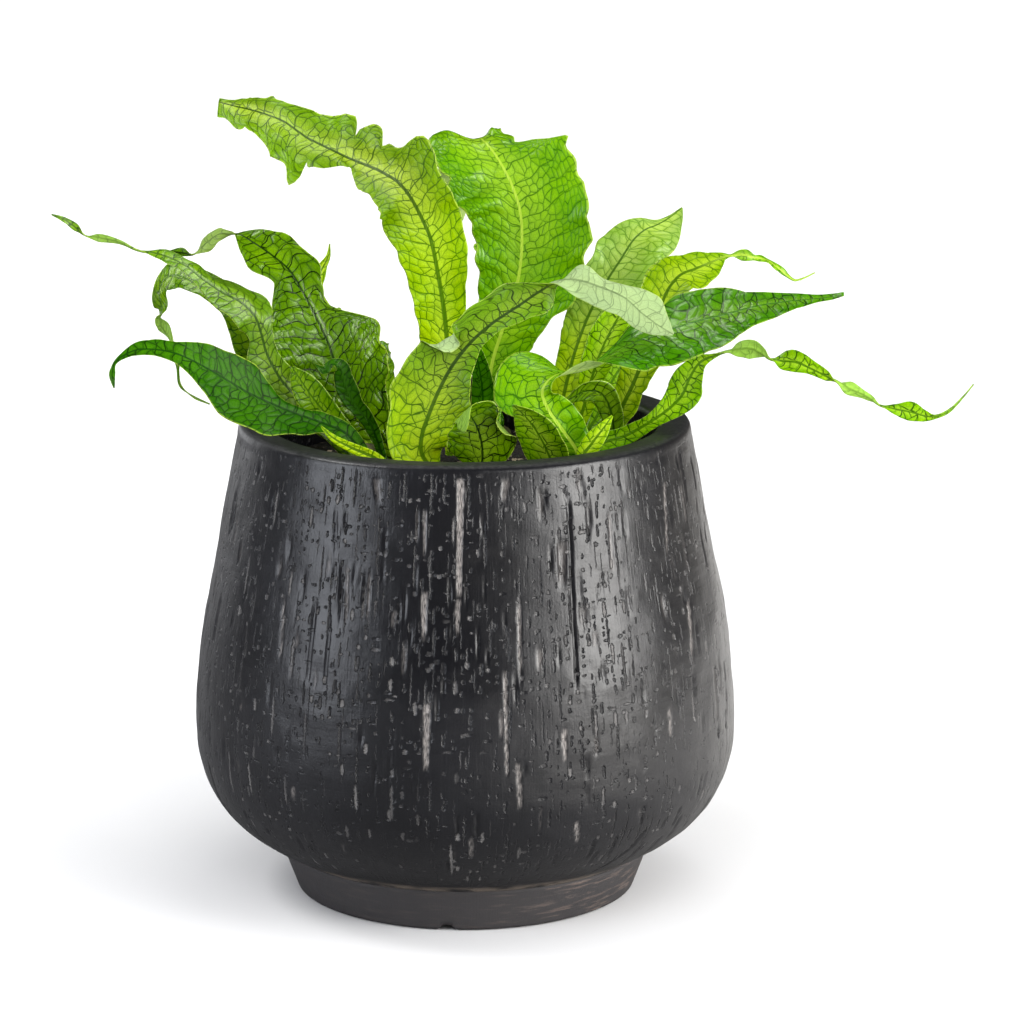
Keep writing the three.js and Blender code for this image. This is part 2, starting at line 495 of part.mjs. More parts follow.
function mixed(rib, distance) {
  let i = 1;
  while (i + 1 < rib.length && rib[i].distance < distance) i++;
  const [a, b] = [rib[i - 1], rib[i]];
  const t = THREE.MathUtils.clamp((distance - a.distance) / (b.distance - a.distance), 0, 1);
  return {
    point: a.point.clone().lerp(b.point, t),
    along: a.along.clone().lerp(b.along, t).normalize(),
    face: a.face.clone().lerp(b.face, t).normalize(),
    left: THREE.MathUtils.lerp(a.left, b.left, t),
    right: THREE.MathUtils.lerp(a.right, b.right, t),
  };
}

// Waves of a frond's margin: side is -1 or 1, distance runs along the midrib.
const wave = (distance, length, phase) => Math.sin((2 * Math.PI * distance) / length + phase);
const lobes = (distance, side, seed) =>
  0.6 * wave(distance, 27 + 3 * side, 1.7 * seed + side) + 0.4 * wave(distance, 15 - side, 2.9 * seed);
const ruffles = (distance, side, seed) =>
  0.7 * wave(distance, 36 + 4 * side, 2.3 * seed + side) + 0.3 * wave(distance, 19 - side, 1.1 * seed);

// The blade's mid-surface at one place: across runs from -1 at the left margin to 1 at the right one.
function bladePoint(frond, seed, at, distance, across, bladeShare) {
  const side = Math.sign(across);
  const reach = Math.abs(across);
  const cup = THREE.MathUtils.degToRad(frond.cup) * bladeShare;
  const half = (side < 0 ? at.left : at.right) * (1 + frond.lobe * bladeShare * lobes(distance, side, seed));
  const turn = cup * reach;
  const bent = cup > FLAT;
  const out = bent ? (half / cup) * Math.sin(turn) : half * reach;
  const rise = bent ? (half / cup) * (1 - Math.cos(turn)) : 0;
  const sideways = at.along.clone().cross(at.face).normalize();
  const normal = at.face.clone().multiplyScalar(Math.cos(turn));
  normal.addScaledVector(sideways, -side * Math.sin(turn));
  const lift = frond.ruffle * half * bladeShare * reach * reach * ruffles(distance, side, seed);
  const point = at.point.clone().addScaledVector(sideways, side * out).addScaledVector(at.face, rise);
  return { point: point.addScaledVector(normal, lift), normal };
}

function frondGeometry(frond, seed) {
  const rib = midrib(frond);
  const length = rib[rib.length - 1].distance;
  const slim = Math.max(...frond.rows.map((row) => row[3] + row[4])) < SLIM_WIDTH;
  const stations = Math.round(length / (frond.step ?? (slim ? SLIM_STATION : STATION)));
  const upper = [];
  const lower = [];
  for (let i = 0; i <= stations; i++) {
    const distance = (length * i) / stations;
    const at = mixed(rib, distance);
    const aboveSoil = distance - STALK_DEPTH - CLEAR_OF_SOIL;
    const bladeShare = THREE.MathUtils.smoothstep(aboveSoil, 0, STALK_FADE);
    const tipShare = Math.min(1, (length - distance) / (RIB_FADE * length));
    const ribAcross = Math.min(RIB_SHARE, RIB_HALF_WIDTH / Math.max(at.left, at.right));
    const half = slim ? [ribAcross, 1] : [ribAcross, MID_BLADE, 1];
    const columns = [...half.map((x) => -x).reverse(), 0, ...half];
    for (const across of columns) {
      const { point, normal } = bladePoint(frond, seed, at, distance, across, bladeShare);
      const round = Math.sqrt(Math.max(0, 1 - across * across));
      const stalk = ((1 - bladeShare) * round * (STALK_THICKNESS - BLADE_THICKNESS)) / 2;
      const rise = across === 0 ? bladeShare * tipShare * RIB_RISE : 0;
      upper.push(point.clone().addScaledVector(normal, BLADE_THICKNESS / 2 + stalk + RIB_ABOVE * rise));
      lower.push(point.clone().addScaledVector(normal, -BLADE_THICKNESS / 2 - stalk - rise));
    }
  }
  return skinned(upper, lower, upper.length / (stations + 1), stations + 1);
}

// Two grids of points, upper and lower, closed round their edges. Both are split along the same diagonals.
function skinned(upper, lower, columns, rows) {
  const points = [...upper, ...lower];
  const below = upper.length;
  const faces = [];
  const quad = (a, b, c, d) => faces.push(a, b, c, a, c, d);
  for (let i = 0; i + 1 < rows; i++) {
    for (let j = 0; j + 1 < columns; j++) {
      const [a, b] = [i * columns + j, i * columns + j + 1];
      const [c, d] = [b + columns, a + columns];
      quad(a, b, c, d);
      faces.push(below + a, below + c, below + b, below + a, below + d, below + c);
    }
    const [left, right] = [i * columns, i * columns + columns - 1];
    quad(left, left + columns, below + left + columns, below + left);
    quad(right, below + right, below + right + columns, right + columns);
  }
  for (let j = 0; j + 1 < columns; j++) {
    const tip = (rows - 1) * columns + j;
    quad(j, below + j, below + j + 1, j + 1);
    quad(tip, tip + 1, below + tip + 1, below + tip);
  }
  const geometry = new THREE.BufferGeometry();
  geometry.setAttribute("position", new THREE.Float32BufferAttribute(points.flatMap((p) => p.toArray()), 3));
  geometry.setIndex(faces);
  geometry.computeVertexNormals();
  return geometry;
}

// Soil and rhizomes

// The plain round hole that a frond's stalk stands in
function socket(frond) {
  const radius = frond.stalk + SOCKET_CLEARANCE;
  const bottom = SOIL_TOP - STALK_DEPTH - SOCKET_FLOOR;
  return solidOf(uprightCylinder(radius, bottom, POT_HEIGHT, ...frond.foot, SOCKET_SIDES));
}

function rhizomeSolid(points, radius) {
  const height = SOIL_TOP + RHIZOME_LIFT;
  const curve = new THREE.CatmullRomCurve3(points.map(([x, y]) => new THREE.Vector3(x, y, height)));
  const section = new THREE.Shape().absarc(0, 0, radius, 0, 2 * Math.PI);
  const steps = points.length * 2;
  const shape = { extrudePath: curve, steps, curveSegments: 4, bevelEnabled: false };
  return solidOf(new THREE.ExtrudeGeometry(section, shape));
}

function soilSolid() {
  const [brim, ...wall] = INNER_WALL.map((p) => new THREE.Vector2(p.x - GAP, p.y + GAP));
  const edge = wall[0].clone().lerp(brim, (SOIL_TOP - wall[0].y) / (brim.y - wall[0].y));
  const profile = [
    new THREE.Vector2(0, FLOOR_THICKNESS + GAP),
    ...wall.reverse(),
    edge,
    new THREE.Vector2(SOIL_SHOULDER, SOIL_TOP + 0.7 * SOIL_CROWN),
    new THREE.Vector2(0, SOIL_TOP + SOIL_CROWN),
  ];
  return solidOf(turned(profile, POT_SEGMENTS));
}

function plantedSoil() {
  let solid = soilSolid();
  for (const rhizome of RHIZOMES) {
    solid = solid.subtract(rhizomeSolid(rhizome.points, RHIZOME_RADIUS + GAP));
  }
  for (const frond of FRONDS) solid = solid.subtract(socket(frond));
  return geometryOf(solid);
}

function plantedRhizome(rhizome) {
  let solid = rhizomeSolid(rhizome.points, RHIZOME_RADIUS);
  for (const frond of FRONDS) solid = solid.subtract(socket(frond));
  return geometryOf(solid);
}

const group = new THREE.Group();
group.add(meshOf("planter", planter(), POT_BLACK));
group.add(meshOf("soil", plantedSoil(), SOIL_BROWN));
for (const rhizome of RHIZOMES) group.add(meshOf(rhizome.name, plantedRhizome(rhizome), RHIZOME_GREEN));
FRONDS.forEach((frond, i) => group.add(meshOf(frond.name, frondGeometry(frond, i + 1), FROND_GREEN)));

export default group;
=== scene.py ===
"""The look of a potted crocodile fern: one leaf for each frond, the planter, the soil and the rhizomes.

Lengths are in millimetres, and become metres where a mesh is made. The fronds' rows repeat those of the
solids.
"""

import math
from collections import namedtuple
from functools import reduce

import bpy
import numpy as np
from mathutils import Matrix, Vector


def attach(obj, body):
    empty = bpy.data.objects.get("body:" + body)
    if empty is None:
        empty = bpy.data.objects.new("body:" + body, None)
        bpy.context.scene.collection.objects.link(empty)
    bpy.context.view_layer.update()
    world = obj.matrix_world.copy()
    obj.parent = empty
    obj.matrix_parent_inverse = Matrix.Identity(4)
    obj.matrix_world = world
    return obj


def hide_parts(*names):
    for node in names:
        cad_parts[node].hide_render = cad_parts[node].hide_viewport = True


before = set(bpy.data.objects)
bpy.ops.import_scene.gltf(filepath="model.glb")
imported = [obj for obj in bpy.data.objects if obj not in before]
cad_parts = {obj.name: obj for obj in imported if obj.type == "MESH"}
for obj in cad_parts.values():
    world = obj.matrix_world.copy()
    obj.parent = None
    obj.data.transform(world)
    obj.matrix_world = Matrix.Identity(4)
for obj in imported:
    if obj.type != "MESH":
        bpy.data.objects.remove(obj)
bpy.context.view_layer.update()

MM = 0.001

# Fronds, as the solids have them
EYE = (25, -2150, 694)
SOIL_TOP = 220
STALK_DEPTH = 11
CLEAR_OF_SOIL = 7
UPRIGHT = 4
STALK_THICKNESS = 3.2
STALK_FADE = 26
LEAST_HALF_WIDTH = 0.3
DENSE = 14

# Leaf surface
LEAF_THICKNESS = 0.55
EDGE_THICKNESS = 0.3
GRID = 1.25
MOST_HALF_COLUMNS = 28
NET_RANDOMNESS = 0.88
STRETCH_FADE = 38
RIDGE_WIDTH = 0.85
RIDGE_ABOVE, RIDGE_BELOW = -0.12, 0.9

# foot is where the stalk stands, stalk half its width, cup how far each half bends towards the face in
# degrees, ruffle and lobe the waves of the margin as shares of the half width, and lean how far the face
# turns up. A row is x, z, y, the half width on the left, the half width on the right and the roll in
# degrees. The last two are left out where the halves are alike and there is no roll. near and far are the
# leaf's look and how light it is at its foot and at its tip, and turnover is how far along one gives way
# to the other. cell is the size of the cells in the net, cut the depth of the cuts in the margin, frill
# the fine waves of the margin and relief that of the blade, in mm.
Frond = namedtuple(
    "Frond", "name foot stalk cup ruffle lobe lean rows near far turnover cell cut frill relief")

FRONDS = [
    Frond("tall_left", (-8, 24), 2.4, 14, 0.09, 0.04, 0.65, [
        (-7, 250, 24, 6), (-8, 275, 23, 11, 9), (-10, 300, 21, 15, 11), (-13, 320, 18, 16, 15),
        (-17, 340, 14, 19.5, 18.5), (-22, 352, 11, 20.5, 19.5), (-28, 363, 6, 20.5), (-34, 370, 2, 18, 25),
        (-38.5, 373, 0, 15.5, 16), (-44, 376, -3, 14, 15), (-50, 378.5, -6, 13.5, 21.5),
        (-55, 380.5, -9, 8, 17), (-60, 382.5, -11, 5.5, 17), (-67, 386, -15, 10, 19.5),
        (-74, 389.5, -19, 13, 16), (-79, 392, -22, 21, 14), (-84, 395.5, -25, 18.5, 13),
        (-91, 400.5, -29, 18.5, 10), (-98, 403.5, -33, 14, 9), (-107, 406.5, -38, 11.5, 6.5),
        (-116, 408.5, -44, 8.5, 3.5), (-124, 410.5, -49, 0.6),
    ], ("lime", 0.98), ("moss", 0.42), 0.5, 4.7, 1, 0.9, 0.12),
    Frond("tall_middle", (12, 34), 2.6, 12, 0.07, 0.06, 0.2, [
        (12, 255, 35, 5, 6), (14, 275, 34, 7, 12), (19, 292, 32, 12, 18), (24, 307, 30, 18, 24),
        (28, 322, 28, 22, 33), (29.5, 340, 26, 25, 35), (28.5, 355, 25, 26, 35.5), (24.5, 368, 26, 31, 35),
        (20, 377, 28.5, 33, 27, 5), (15, 385, 33.5, 32, 16, 12), (10, 390.5, 42, 29, 12, 20),
        (7, 391.5, 54, 26, 13, 20), (4, 385, 72, 20, 16, 15), (1, 370, 91, 13, 14, 5), (-1, 350, 104, 1),
    ], ("bright", 0.92), ("bright", 0.72), 0.35, 4.4, 1, 1, 0.26),
    Frond("front_twisted", (-14, -62), 2.6, 10, 0.07, 0.05, 0.55, [
        (-22, 228, -66, 14, 13), (-22, 238, -67, 18, 17), (-18, 250, -68, 21), (-13, 262, -69, 23, 18),
        (-6, 275, -70, 19, 12), (3, 286.5, -71, 13, 6.5), (14, 296.5, -72, 13, 5.5), (28, 306, -74, 13, 8),
        (38, 313, -76, 6, 11, 20), (46, 317.5, -78, 3, 5, 90), (58, 319, -82, 8.5, 9, 165),
        (71, 315, -88, 10, 5.5, 170), (82, 310, -94, 9.5, 8.5, 165), (91, 302, -99, 8, 12, 165),
        (99, 296, -103, 6, 7.5, 170), (107, 291, -106, 0.6, 0.6, 170),
    ], ("lime", 1.06), ("grey", 0.68), 0.29, 4.5, 0.5, 0.5, 0.12),
    Frond("left_broad", (-36, -22), 2.5, 12, 0.07, 0.05, 0.45, [
        (-42, 237, -23, 6, 7), (-51, 248, -25, 13, 15), (-60, 260, -27, 22, 24, 5),
        (-66, 275, -28, 28, 28, 10), (-70, 287, -28, 31, 26, 10), (-76, 300, -27, 28, 12, 10),
        (-82, 312, -26, 19, 10.5, 5), (-89, 324, -24, 10.5, 13), (-98, 332, -21, 12, 13),
        (-108, 339, -17, 9, 8), (-114, 342.5, -14, 4.5, 3.5, 30), (-119, 343.5, -12, 1.6, 1.6, 100),
        (-125, 342.5, -10, 3.8, 3.3, 175), (-132, 337.5, -8, 4.5, 4.5, 180),
        (-138, 332.5, -7, 1.3, 1.3, 240), (-144, 333.5, -6, 2, 2.5, 320), (-151, 334, -5, 0.5, 0.5, 340),
    ], ("olive", 0.78), ("olive", 0.78), 0.5, 4.5, 0.8, 0.9, 0.5),
    Frond("left_folded", (-56, -36), 2.3, 8, 0.06, 0.04, 0.75, [
        (-72, 243, -39, 5, 4), (-84, 256, -43, 8, 7), (-94, 267, -47, 9, 8), (-101, 280, -51, 11, 6),
        (-104, 291, -54, 7, 6), (-107, 300, -57, 11, 8), (-114, 307.5, -60, 10, 14),
        (-124, 313, -63, 8.5, 10.5), (-134, 320, -66, 5, 7), (-142, 326.5, -69, 3.2),
        (-152, 331.5, -72, 3.5), (-160, 333.5, -75, 2.5, 1.5, 30), (-167, 335, -77, 0.8, 0.8, 90),
        (-176, 339, -79, 1.2, 1.2, 150), (-186, 341, -81, 2.2, 2.2, 180), (-193, 342, -83, 0.8, 0.8, 250),
        (-198, 346.5, -85, 1.9, 1.9, 330), (-204, 350.5, -87, 1.4, 1.4, 360),
        (-210, 353, -89, 0.4, 0.4, 360),
    ], ("grey", 0.86), ("fresh", 0.72), 0.62, 4.3, 0.6, 0.6, 0.2),
    Frond("left_drooping", (-44, -58), 2.5, 10, 0.05, 0.03, 0.8, [
        (-60, 238, -60, 5), (-73, 244.5, -63, 7, 6), (-84, 248.5, -67, 11, 4), (-94, 252.5, -71, 15, 5),
        (-103, 256.5, -75, 18, 10), (-112, 261, -79, 19, 14.5), (-121, 266.5, -83, 18, 14.5),
        (-130, 272, -87, 13, 12.5), (-139, 277, -90, 8, 10.5), (-148, 281, -93, 5, 6.5),
        (-158, 283, -95, 3.5, 5.5), (-167, 283, -97, 3, 4.2), (-174, 280.5, -98, 2), (-179.5, 276, -99, 1),
        (-181, 270, -100, 1.7), (-180, 263, -101, 0.4),
    ], ("deep", 0.7), ("deep", 0.85), 0.6, 4.8, 0.5, 0.5, 0.05),
    Frond("left_curled", (-60, -2), 2.3, 10, 0.08, 0.05, 0.6, [
        (-84, 252, -3, 7), (-98, 268, -4, 10, 11), (-108, 285, -6, 11, 12), (-117, 299.5, -8, 6, 11),
        (-128, 311, -11, 4, 10), (-139, 318.5, -15, 5.5, 8), (-148, 322, -21, 7, 6.5),
        (-154.5, 318, -27, 6, 4.5), (-156, 311, -30, 4, 4.4, 40), (-154.5, 304, -31, 3.6, 4, 120),
        (-156.5, 299, -31, 2.6, 2.6, 200), (-153, 292.5, -31, 3.6, 4, 300),
        (-148.5, 284, -30, 3.2, 3.2, 360), (-147, 274, -30, 1, 1, 420), (-146, 264.5, -30, 1.1, 1.1, 480),
        (-139.5, 258.5, -30, 1.6, 1.6, 540), (-131, 254.5, -30, 0.4, 0.4, 560),
    ], ("olive", 0.62), ("fresh", 0.85), 0.4, 4, 0.8, 0.8, 0.12),
    Frond("behind_left", (-34, 18), 2, 10, 0.08, 0.05, 0.2, [
        (-50, 255, 17, 5), (-61, 278, 18, 8, 9), (-71, 299, 19, 6), (-76, 313, 20, 4),
        (-73, 324, 21, 3, 3, 20), (-69.5, 331.5, 22, 1.8, 1.8, 50), (-68.5, 338, 23, 0.4, 0.4, 60),
    ], ("lime", 0.8), ("lime", 1), 0.5, 3.8, 1, 0.8, 0.14),
    Frond("left_inner", (-46, -46), 2, 16, 0.05, 0.02, 0.2, [
        (-60, 239, -49, 4), (-70, 248, -51, 7), (-78, 258, -54, 8.5, 8), (-84, 267, -57, 6),
        (-88.5, 274, -60, 0.8),
    ], ("olive", 0.7), ("fresh", 0.7), 0.5, 3.8, 0.6, 0.6, 0.12),
    Frond("left_crinkled", (-40, -38), 1.9, 18, 0.12, 0.07, 0.2, [
        (-48, 243, -40, 3.5), (-56, 254, -42, 5), (-61, 265, -44, 6, 5), (-63.5, 274, -46, 4, 4, 20),
        (-68, 276, -48, 2.5, 2.5, 60), (-72, 272.5, -49, 2.5, 2.5, 20), (-76.5, 275.5, -50, 0.6),
    ], ("deep", 0.6), ("dark", 0.7), 0.5, 3.4, 1, 1.6, 0.3),
    Frond("rim_left", (-32, -68), 1.6, 10, 0.05, 0, 0.2, [
        (-46, 226, -70, 3), (-58, 231.5, -72, 2.6), (-68, 237, -74, 1.8), (-74, 243, -75, 0.4),
    ], ("lime", 0.8), ("lime", 1), 0.5, 3.4, 0.3, 0.3, 0.1),
    Frond("middle_dark", (8, 2), 2, 15, 0.06, 0.04, 0.2, [
        (9, 243, 1, 5), (9.5, 256, 0, 6), (8.5, 268, -1, 5, 6), (6, 281, -3, 3.5, 4), (4, 290, -5, 0.6),
    ], ("deep", 1), ("deep", 1), 0.5, 3.8, 0.5, 0.5, 0.12),
    Frond("front_rolled", (9, -73), 2.2, 8, 0.07, 0.05, 0.2, [
        (9, 222, -77, 9), (9, 232, -79, 17), (7, 241, -80, 16, 17), (3, 248.5, -82, 11, 12),
        (0, 250, -87, 7.5, 7), (-1, 245, -91, 6.5, 6), (-2, 240.5, -91, 4, 3.5),
    ], ("olive", 0.62), ("fresh", 0.85), 0.75, 4.4, 0.9, 0.8, 0.2),
    Frond("front_light", (40, -72), 2.1, 14, 0.05, 0.03, 0.2, [
        (45, 222, -77, 8), (42, 231, -80, 11), (37, 240.5, -84, 10.5, 10), (31, 248.5, -88, 6.5, 6),
        (25, 254, -92, 0.8),
    ], ("fresh", 0.52), ("fresh", 0.64), 0.6, 4.4, 0.6, 0.6, 0.2),
    Frond("right_sweeping", (56, -52), 2.6, 10, 0.05, 0.03, 0.75, [
        (58, 229, -58, 8), (51, 240, -62, 12), (43.5, 251, -65, 16, 11), (40, 261, -66, 22, 7),
        (45, 268.5, -66, 21, 5, -35), (55, 272, -65, 17, 9, -65), (67, 275, -64, 14, 15, -60),
        (79, 282, -64, 13, 21, -40), (91, 288.5, -65, 14, 24, -20), (106, 293.5, -68, 17.5, 22, -8),
        (120, 298, -72, 17.5, 21), (134, 301.5, -76, 15, 18), (149, 305.5, -80, 8, 11.5),
        (165, 308, -84, 5, 6.5), (180, 309.5, -88, 2.3, 2.5), (188, 310.5, -90, 1.8), (194, 312, -92, 1.2),
    ], ("bright", 0.9), ("dark", 1.05), 0.45, 4.7, 0.6, 0.6, 0.36),
    # The tip of this frond is painted with a pale sheen (its far look).
    Frond("right_upright", (46, 34), 2.4, 12, 0.07, 0.05, 0.45, [
        (50, 255, 34, 6), (53.5, 270, 33, 8), (57, 283, 33, 9, 11), (62, 297, 33, 12), (67, 308, 34, 14, 13),
        (73, 319, 36, 15, 16), (80, 330, 39, 15, 20), (86, 339.5, 43, 13, 22), (92, 345, 47, 8, 21),
        (98, 347.5, 51, 3.5, 17), (104, 351, 55, 1.5, 11), (111, 356.5, 59, 0.5, 0.6),
    ], ("lime", 1), ("soft", 0.76), 0.5, 4.6, 0.9, 0.8, 0.3),
    Frond("right_curly", (70, 6), 2.3, 8, 0.07, 0.08, 0.65, [
        (75, 241, 4, 6, 5), (80.5, 252, 3, 8, 7), (87, 266, 2, 9, 8), (94, 284, 1, 10, 9),
        (99, 300, 0, 11, 9), (103.5, 313, 0, 14, 10), (110, 321.5, 1, 13, 11), (118, 325, 3, 9.5, 11.5),
        (126.5, 328.5, 6, 6.5, 8), (132, 331, 8, 3), (136.5, 331.8, 10, 1, 1.2, 30),
        (142, 332.5, 13, 3.6, 3.4, 60), (148, 330.8, 16, 1.5, 2, 20), (154, 329.5, 19, 3.2, 2.7, -30),
        (160, 325.5, 22, 2.5, 2.4), (165, 321.5, 25, 1.9, 1, 40), (169, 319.2, 28, 0.8, 0.8, 60),
        (174, 320.5, 31, 0.6, 0.6, 60), (179, 323, 34, 0.4, 0.4, 60),
    ], ("lime", 0.72), ("bright", 0.76), 0.7, 4, 2, 1.1, 0.2),
    Frond("right_middle", (56, 16), 2.1, 10, 0.08, 0.05, 0.2, [
        (61, 252, 16, 5), (65, 267, 15, 7), (70, 282, 14, 9, 8), (76, 295, 14, 9, 8), (82, 305, 14, 5),
        (87, 312, 14, 0.8),
    ], ("lime", 1.3), ("fresh", 1.3), 0.5, 4, 0.8, 0.7, 0.14),
    Frond("right_ribbon", (60, -22), 2.3, 8, 0.06, 0.05, 0.7, [
        (70, 233.5, -25, 5), (83, 238, -28, 5, 5, 10), (95, 245, -31, 4, 4, 25), (105, 252, -32, 6, 6, 10),
        (112, 259.5, -32, 9), (115.5, 268, -33, 8.5, 7.5), (120.5, 276, -34, 4.5, 4),
        (127, 279.5, -36, 1.7, 1.7, 30), (134, 281.5, -38, 1.2, 1.2, 100), (140, 283, -40, 3.8, 4.2, 170),
        (147, 283.5, -42, 5.3, 4.8, 180), (153, 281, -44, 2.7, 3.2, 210), (157, 278.5, -45, 1, 1, 270),
        (163, 277, -46, 4.8, 4.2, 345), (170, 276.5, -48, 6.3, 5.3, 360), (178, 273, -50, 4.2, 3.2, 360),
        (186, 269, -52, 2.7, 2.2, 370), (191, 266, -53, 1, 1, 450), (197, 263, -54, 3.5, 3.8, 530),
        (204, 260, -55, 2.2, 2.5, 540), (209, 257.5, -56, 1.6, 1.6, 560), (214, 254, -57, 0.8, 0.8, 640),
        (221, 252, -58, 2.7, 2.7, 710), (229, 250.5, -59, 5.2, 4.8, 720), (236, 248.5, -60, 3.2, 3.2, 720),
        (242, 248, -61, 1.1, 1.3, 740), (249, 251, -62, 1.2, 1.2, 760), (256, 258, -62, 0.9, 0.9, 780),
        (261.5, 265, -62, 0.4, 0.4, 780),
    ], ("fresh", 1.3), ("fresh", 1.15), 0.5, 4, 0.5, 0.5, 0.14),
    Frond("right_arched", (78, -8), 1.9, 14, 0.05, 0.03, 0.2, [
        (77, 240, -12, 5), (75, 252, -15, 6), (70, 260.5, -19, 6.5, 7), (62, 261.5, -23, 6, 6.5),
        (55, 258, -26, 3.5), (50.5, 254.5, -28, 0.8),
    ], ("olive", 1), ("grey", 1), 0.5, 4, 0.6, 0.6, 0.14),
    Frond("right_tip", (58, -70), 1.7, 12, 0.04, 0.02, 0.2, [
        (61, 227, -70, 4), (66, 234.5, -69, 5), (71.5, 242, -67, 3.4), (76, 248.5, -65, 0.5),
    ], ("lime", 1), ("lime", 1), 0.5, 3.8, 0.4, 0.4, 0.12),
    Frond("back_tall", (16, 58), 2.4, 14, 0.09, 0.07, 0.2, [
        (16, 258, 62, 4), (18, 281, 70, 7), (22, 304, 83, 13), (27, 322, 103, 22, 21), (30, 330, 128, 26),
        (30, 322, 156, 21), (29, 304, 182, 11), (28, 283, 206, 0.8),
    ], ("bright", 1), ("fresh", 1), 0.5, 4.5, 1.6, 1, 0.2),
    Frond("back_left", (-52, 40), 2.2, 14, 0.09, 0.07, 0.2, [
        (-56, 255, 46, 6), (-62, 275, 57, 13, 12), (-71, 289, 78, 20, 18), (-79, 293, 106, 21, 19),
        (-84, 290, 138, 15), (-88, 271, 168, 0.8),
    ], ("bright", 1), ("bright", 0.9), 0.5, 4.4, 1.4, 0.9, 0.2),
    Frond("back_right", (64, 40), 2.2, 14, 0.09, 0.07, 0.2, [
        (69, 250, 46, 4), (76, 267, 56, 8), (86, 281, 74, 14), (97, 290, 98, 18, 17),
        (106, 291, 124, 16, 15), (113, 284, 150, 9), (119, 271, 174, 0.8),
    ], ("fresh", 1), ("fresh", 1), 0.5, 4.4, 1.2, 0.9, 0.18),
    Frond("back_middle", (-14, 62), 2.2, 12, 0.09, 0.07, 0.2, [
        (-14, 258, 68, 5), (-13, 281, 78, 9), (-11, 297, 96, 13), (-9, 303, 122, 14), (-9, 297, 150, 11),
        (-9, 280, 178, 0.8),
    ], ("olive", 1), ("fresh", 1), 0.5, 4.3, 1.2, 0.8, 0.18),
    Frond("back_low_left", (-34, 58), 2.1, 14, 0.09, 0.07, 0.2, [
        (-37, 249, 66, 4), (-43, 265, 78, 9), (-49, 275, 98, 14), (-54, 278, 122, 17), (-57, 272, 146, 14),
        (-59, 259, 168, 8), (-60, 243, 184, 0.8),
    ], ("fresh", 1), ("bright", 0.9), 0.5, 4.3, 1.2, 0.8, 0.18),
    Frond("back_low_right", (18, 78), 2.1, 14, 0.09, 0.07, 0.2, [
        (16, 250, 84, 4), (15, 268, 93, 8), (15, 280, 110, 12), (16, 286, 132, 15), (17, 281, 154, 13),
        (18, 269, 174, 8), (18, 252, 192, 0.8),
    ], ("dark", 1.1), ("olive", 1), 0.5, 4.3, 1.2, 0.8, 0.18),
    Frond("young_left", (-22, -2), 1.9, 14, 0.08, 0.06, 0.2, [
        (-22, 246, -1, 4), (-21, 260, -4, 8), (-17, 272, -9, 9, 9, 20), (-12, 280, -17, 8, 8, 40),
        (-6, 279, -28, 0.8, 0.8, 50),
    ], ("lime", 1), ("lime", 1), 0.5, 3.8, 0.6, 0.7, 0.14),
    Frond("young_right", (34, -22), 1.9, 14, 0.08, 0.06, 0.2, [
        (34, 244, -24, 4), (34, 256, -22, 8, 8, -20), (33, 267, -16, 9, 9, -40), (31, 272, -4, 7, 7, -50),
        (29, 268, 8, 0.8, 0.8, -50),
    ], ("bright", 1), ("bright", 1), 0.5, 3.8, 0.6, 0.7, 0.14),
]

# Each look is: the leaf between its veins, the middles of its cells, the veins, the midrib, the paler
# underside (all sRGB), roughness, how strong the net of veins is, how pale it is beside the midrib,
# gloss, and the half width of the midrib's line at the foot in mm.
LOOKS = {
    "lime": ((117, 150, 0), (156, 182, 4), (40, 80, 0), (50, 86, 0), (170, 192, 84),
        0.26, 0.9, 0.24, 0.12, 2),
    "moss": ((98, 138, 0), (128, 164, 2), (34, 72, 0), (34, 70, 0), (170, 192, 84),
        0.28, 0.85, 0.1, 0.1, 2),
    "bright": ((80, 134, 0), (114, 162, 0), (20, 72, 0), (150, 180, 50), (176, 198, 120),
        0.24, 0.8, 0.1, 0.24, 1.3),
    "fresh": ((78, 122, 0), (112, 150, 0), (12, 46, 0), (46, 82, 0), (114, 148, 58),
        0.22, 0.95, 0.1, 0.22, 1.1),
    "grey": ((76, 110, 2), (98, 130, 12), (10, 34, 0), (22, 52, 0), (166, 188, 134),
        0.38, 0.95, 0, 0.3, 1.1),
    # This pale, greyed lime look is a painted sheen, for a face that catches a light from above.
    "soft": ((112, 146, 40), (142, 170, 84), (60, 104, 14), (44, 84, 0), (170, 192, 110),
        0.32, 0.7, 0, 0.34, 1),
    "olive": ((64, 102, 0), (100, 138, 0), (4, 22, 0), (8, 34, 0), (120, 146, 64),
        0.18, 1, 0, 0.26, 1),
    "dark": ((36, 84, 0), (60, 112, 0), (4, 28, 0), (40, 84, 8), (92, 130, 50),
        0.24, 0.95, 0, 0.2, 1),
    "deep": ((30, 78, 0), (54, 106, 0), (3, 24, 0), (8, 48, 0), (92, 130, 50),
        0.3, 0.9, 0, 0.05, 1),
}

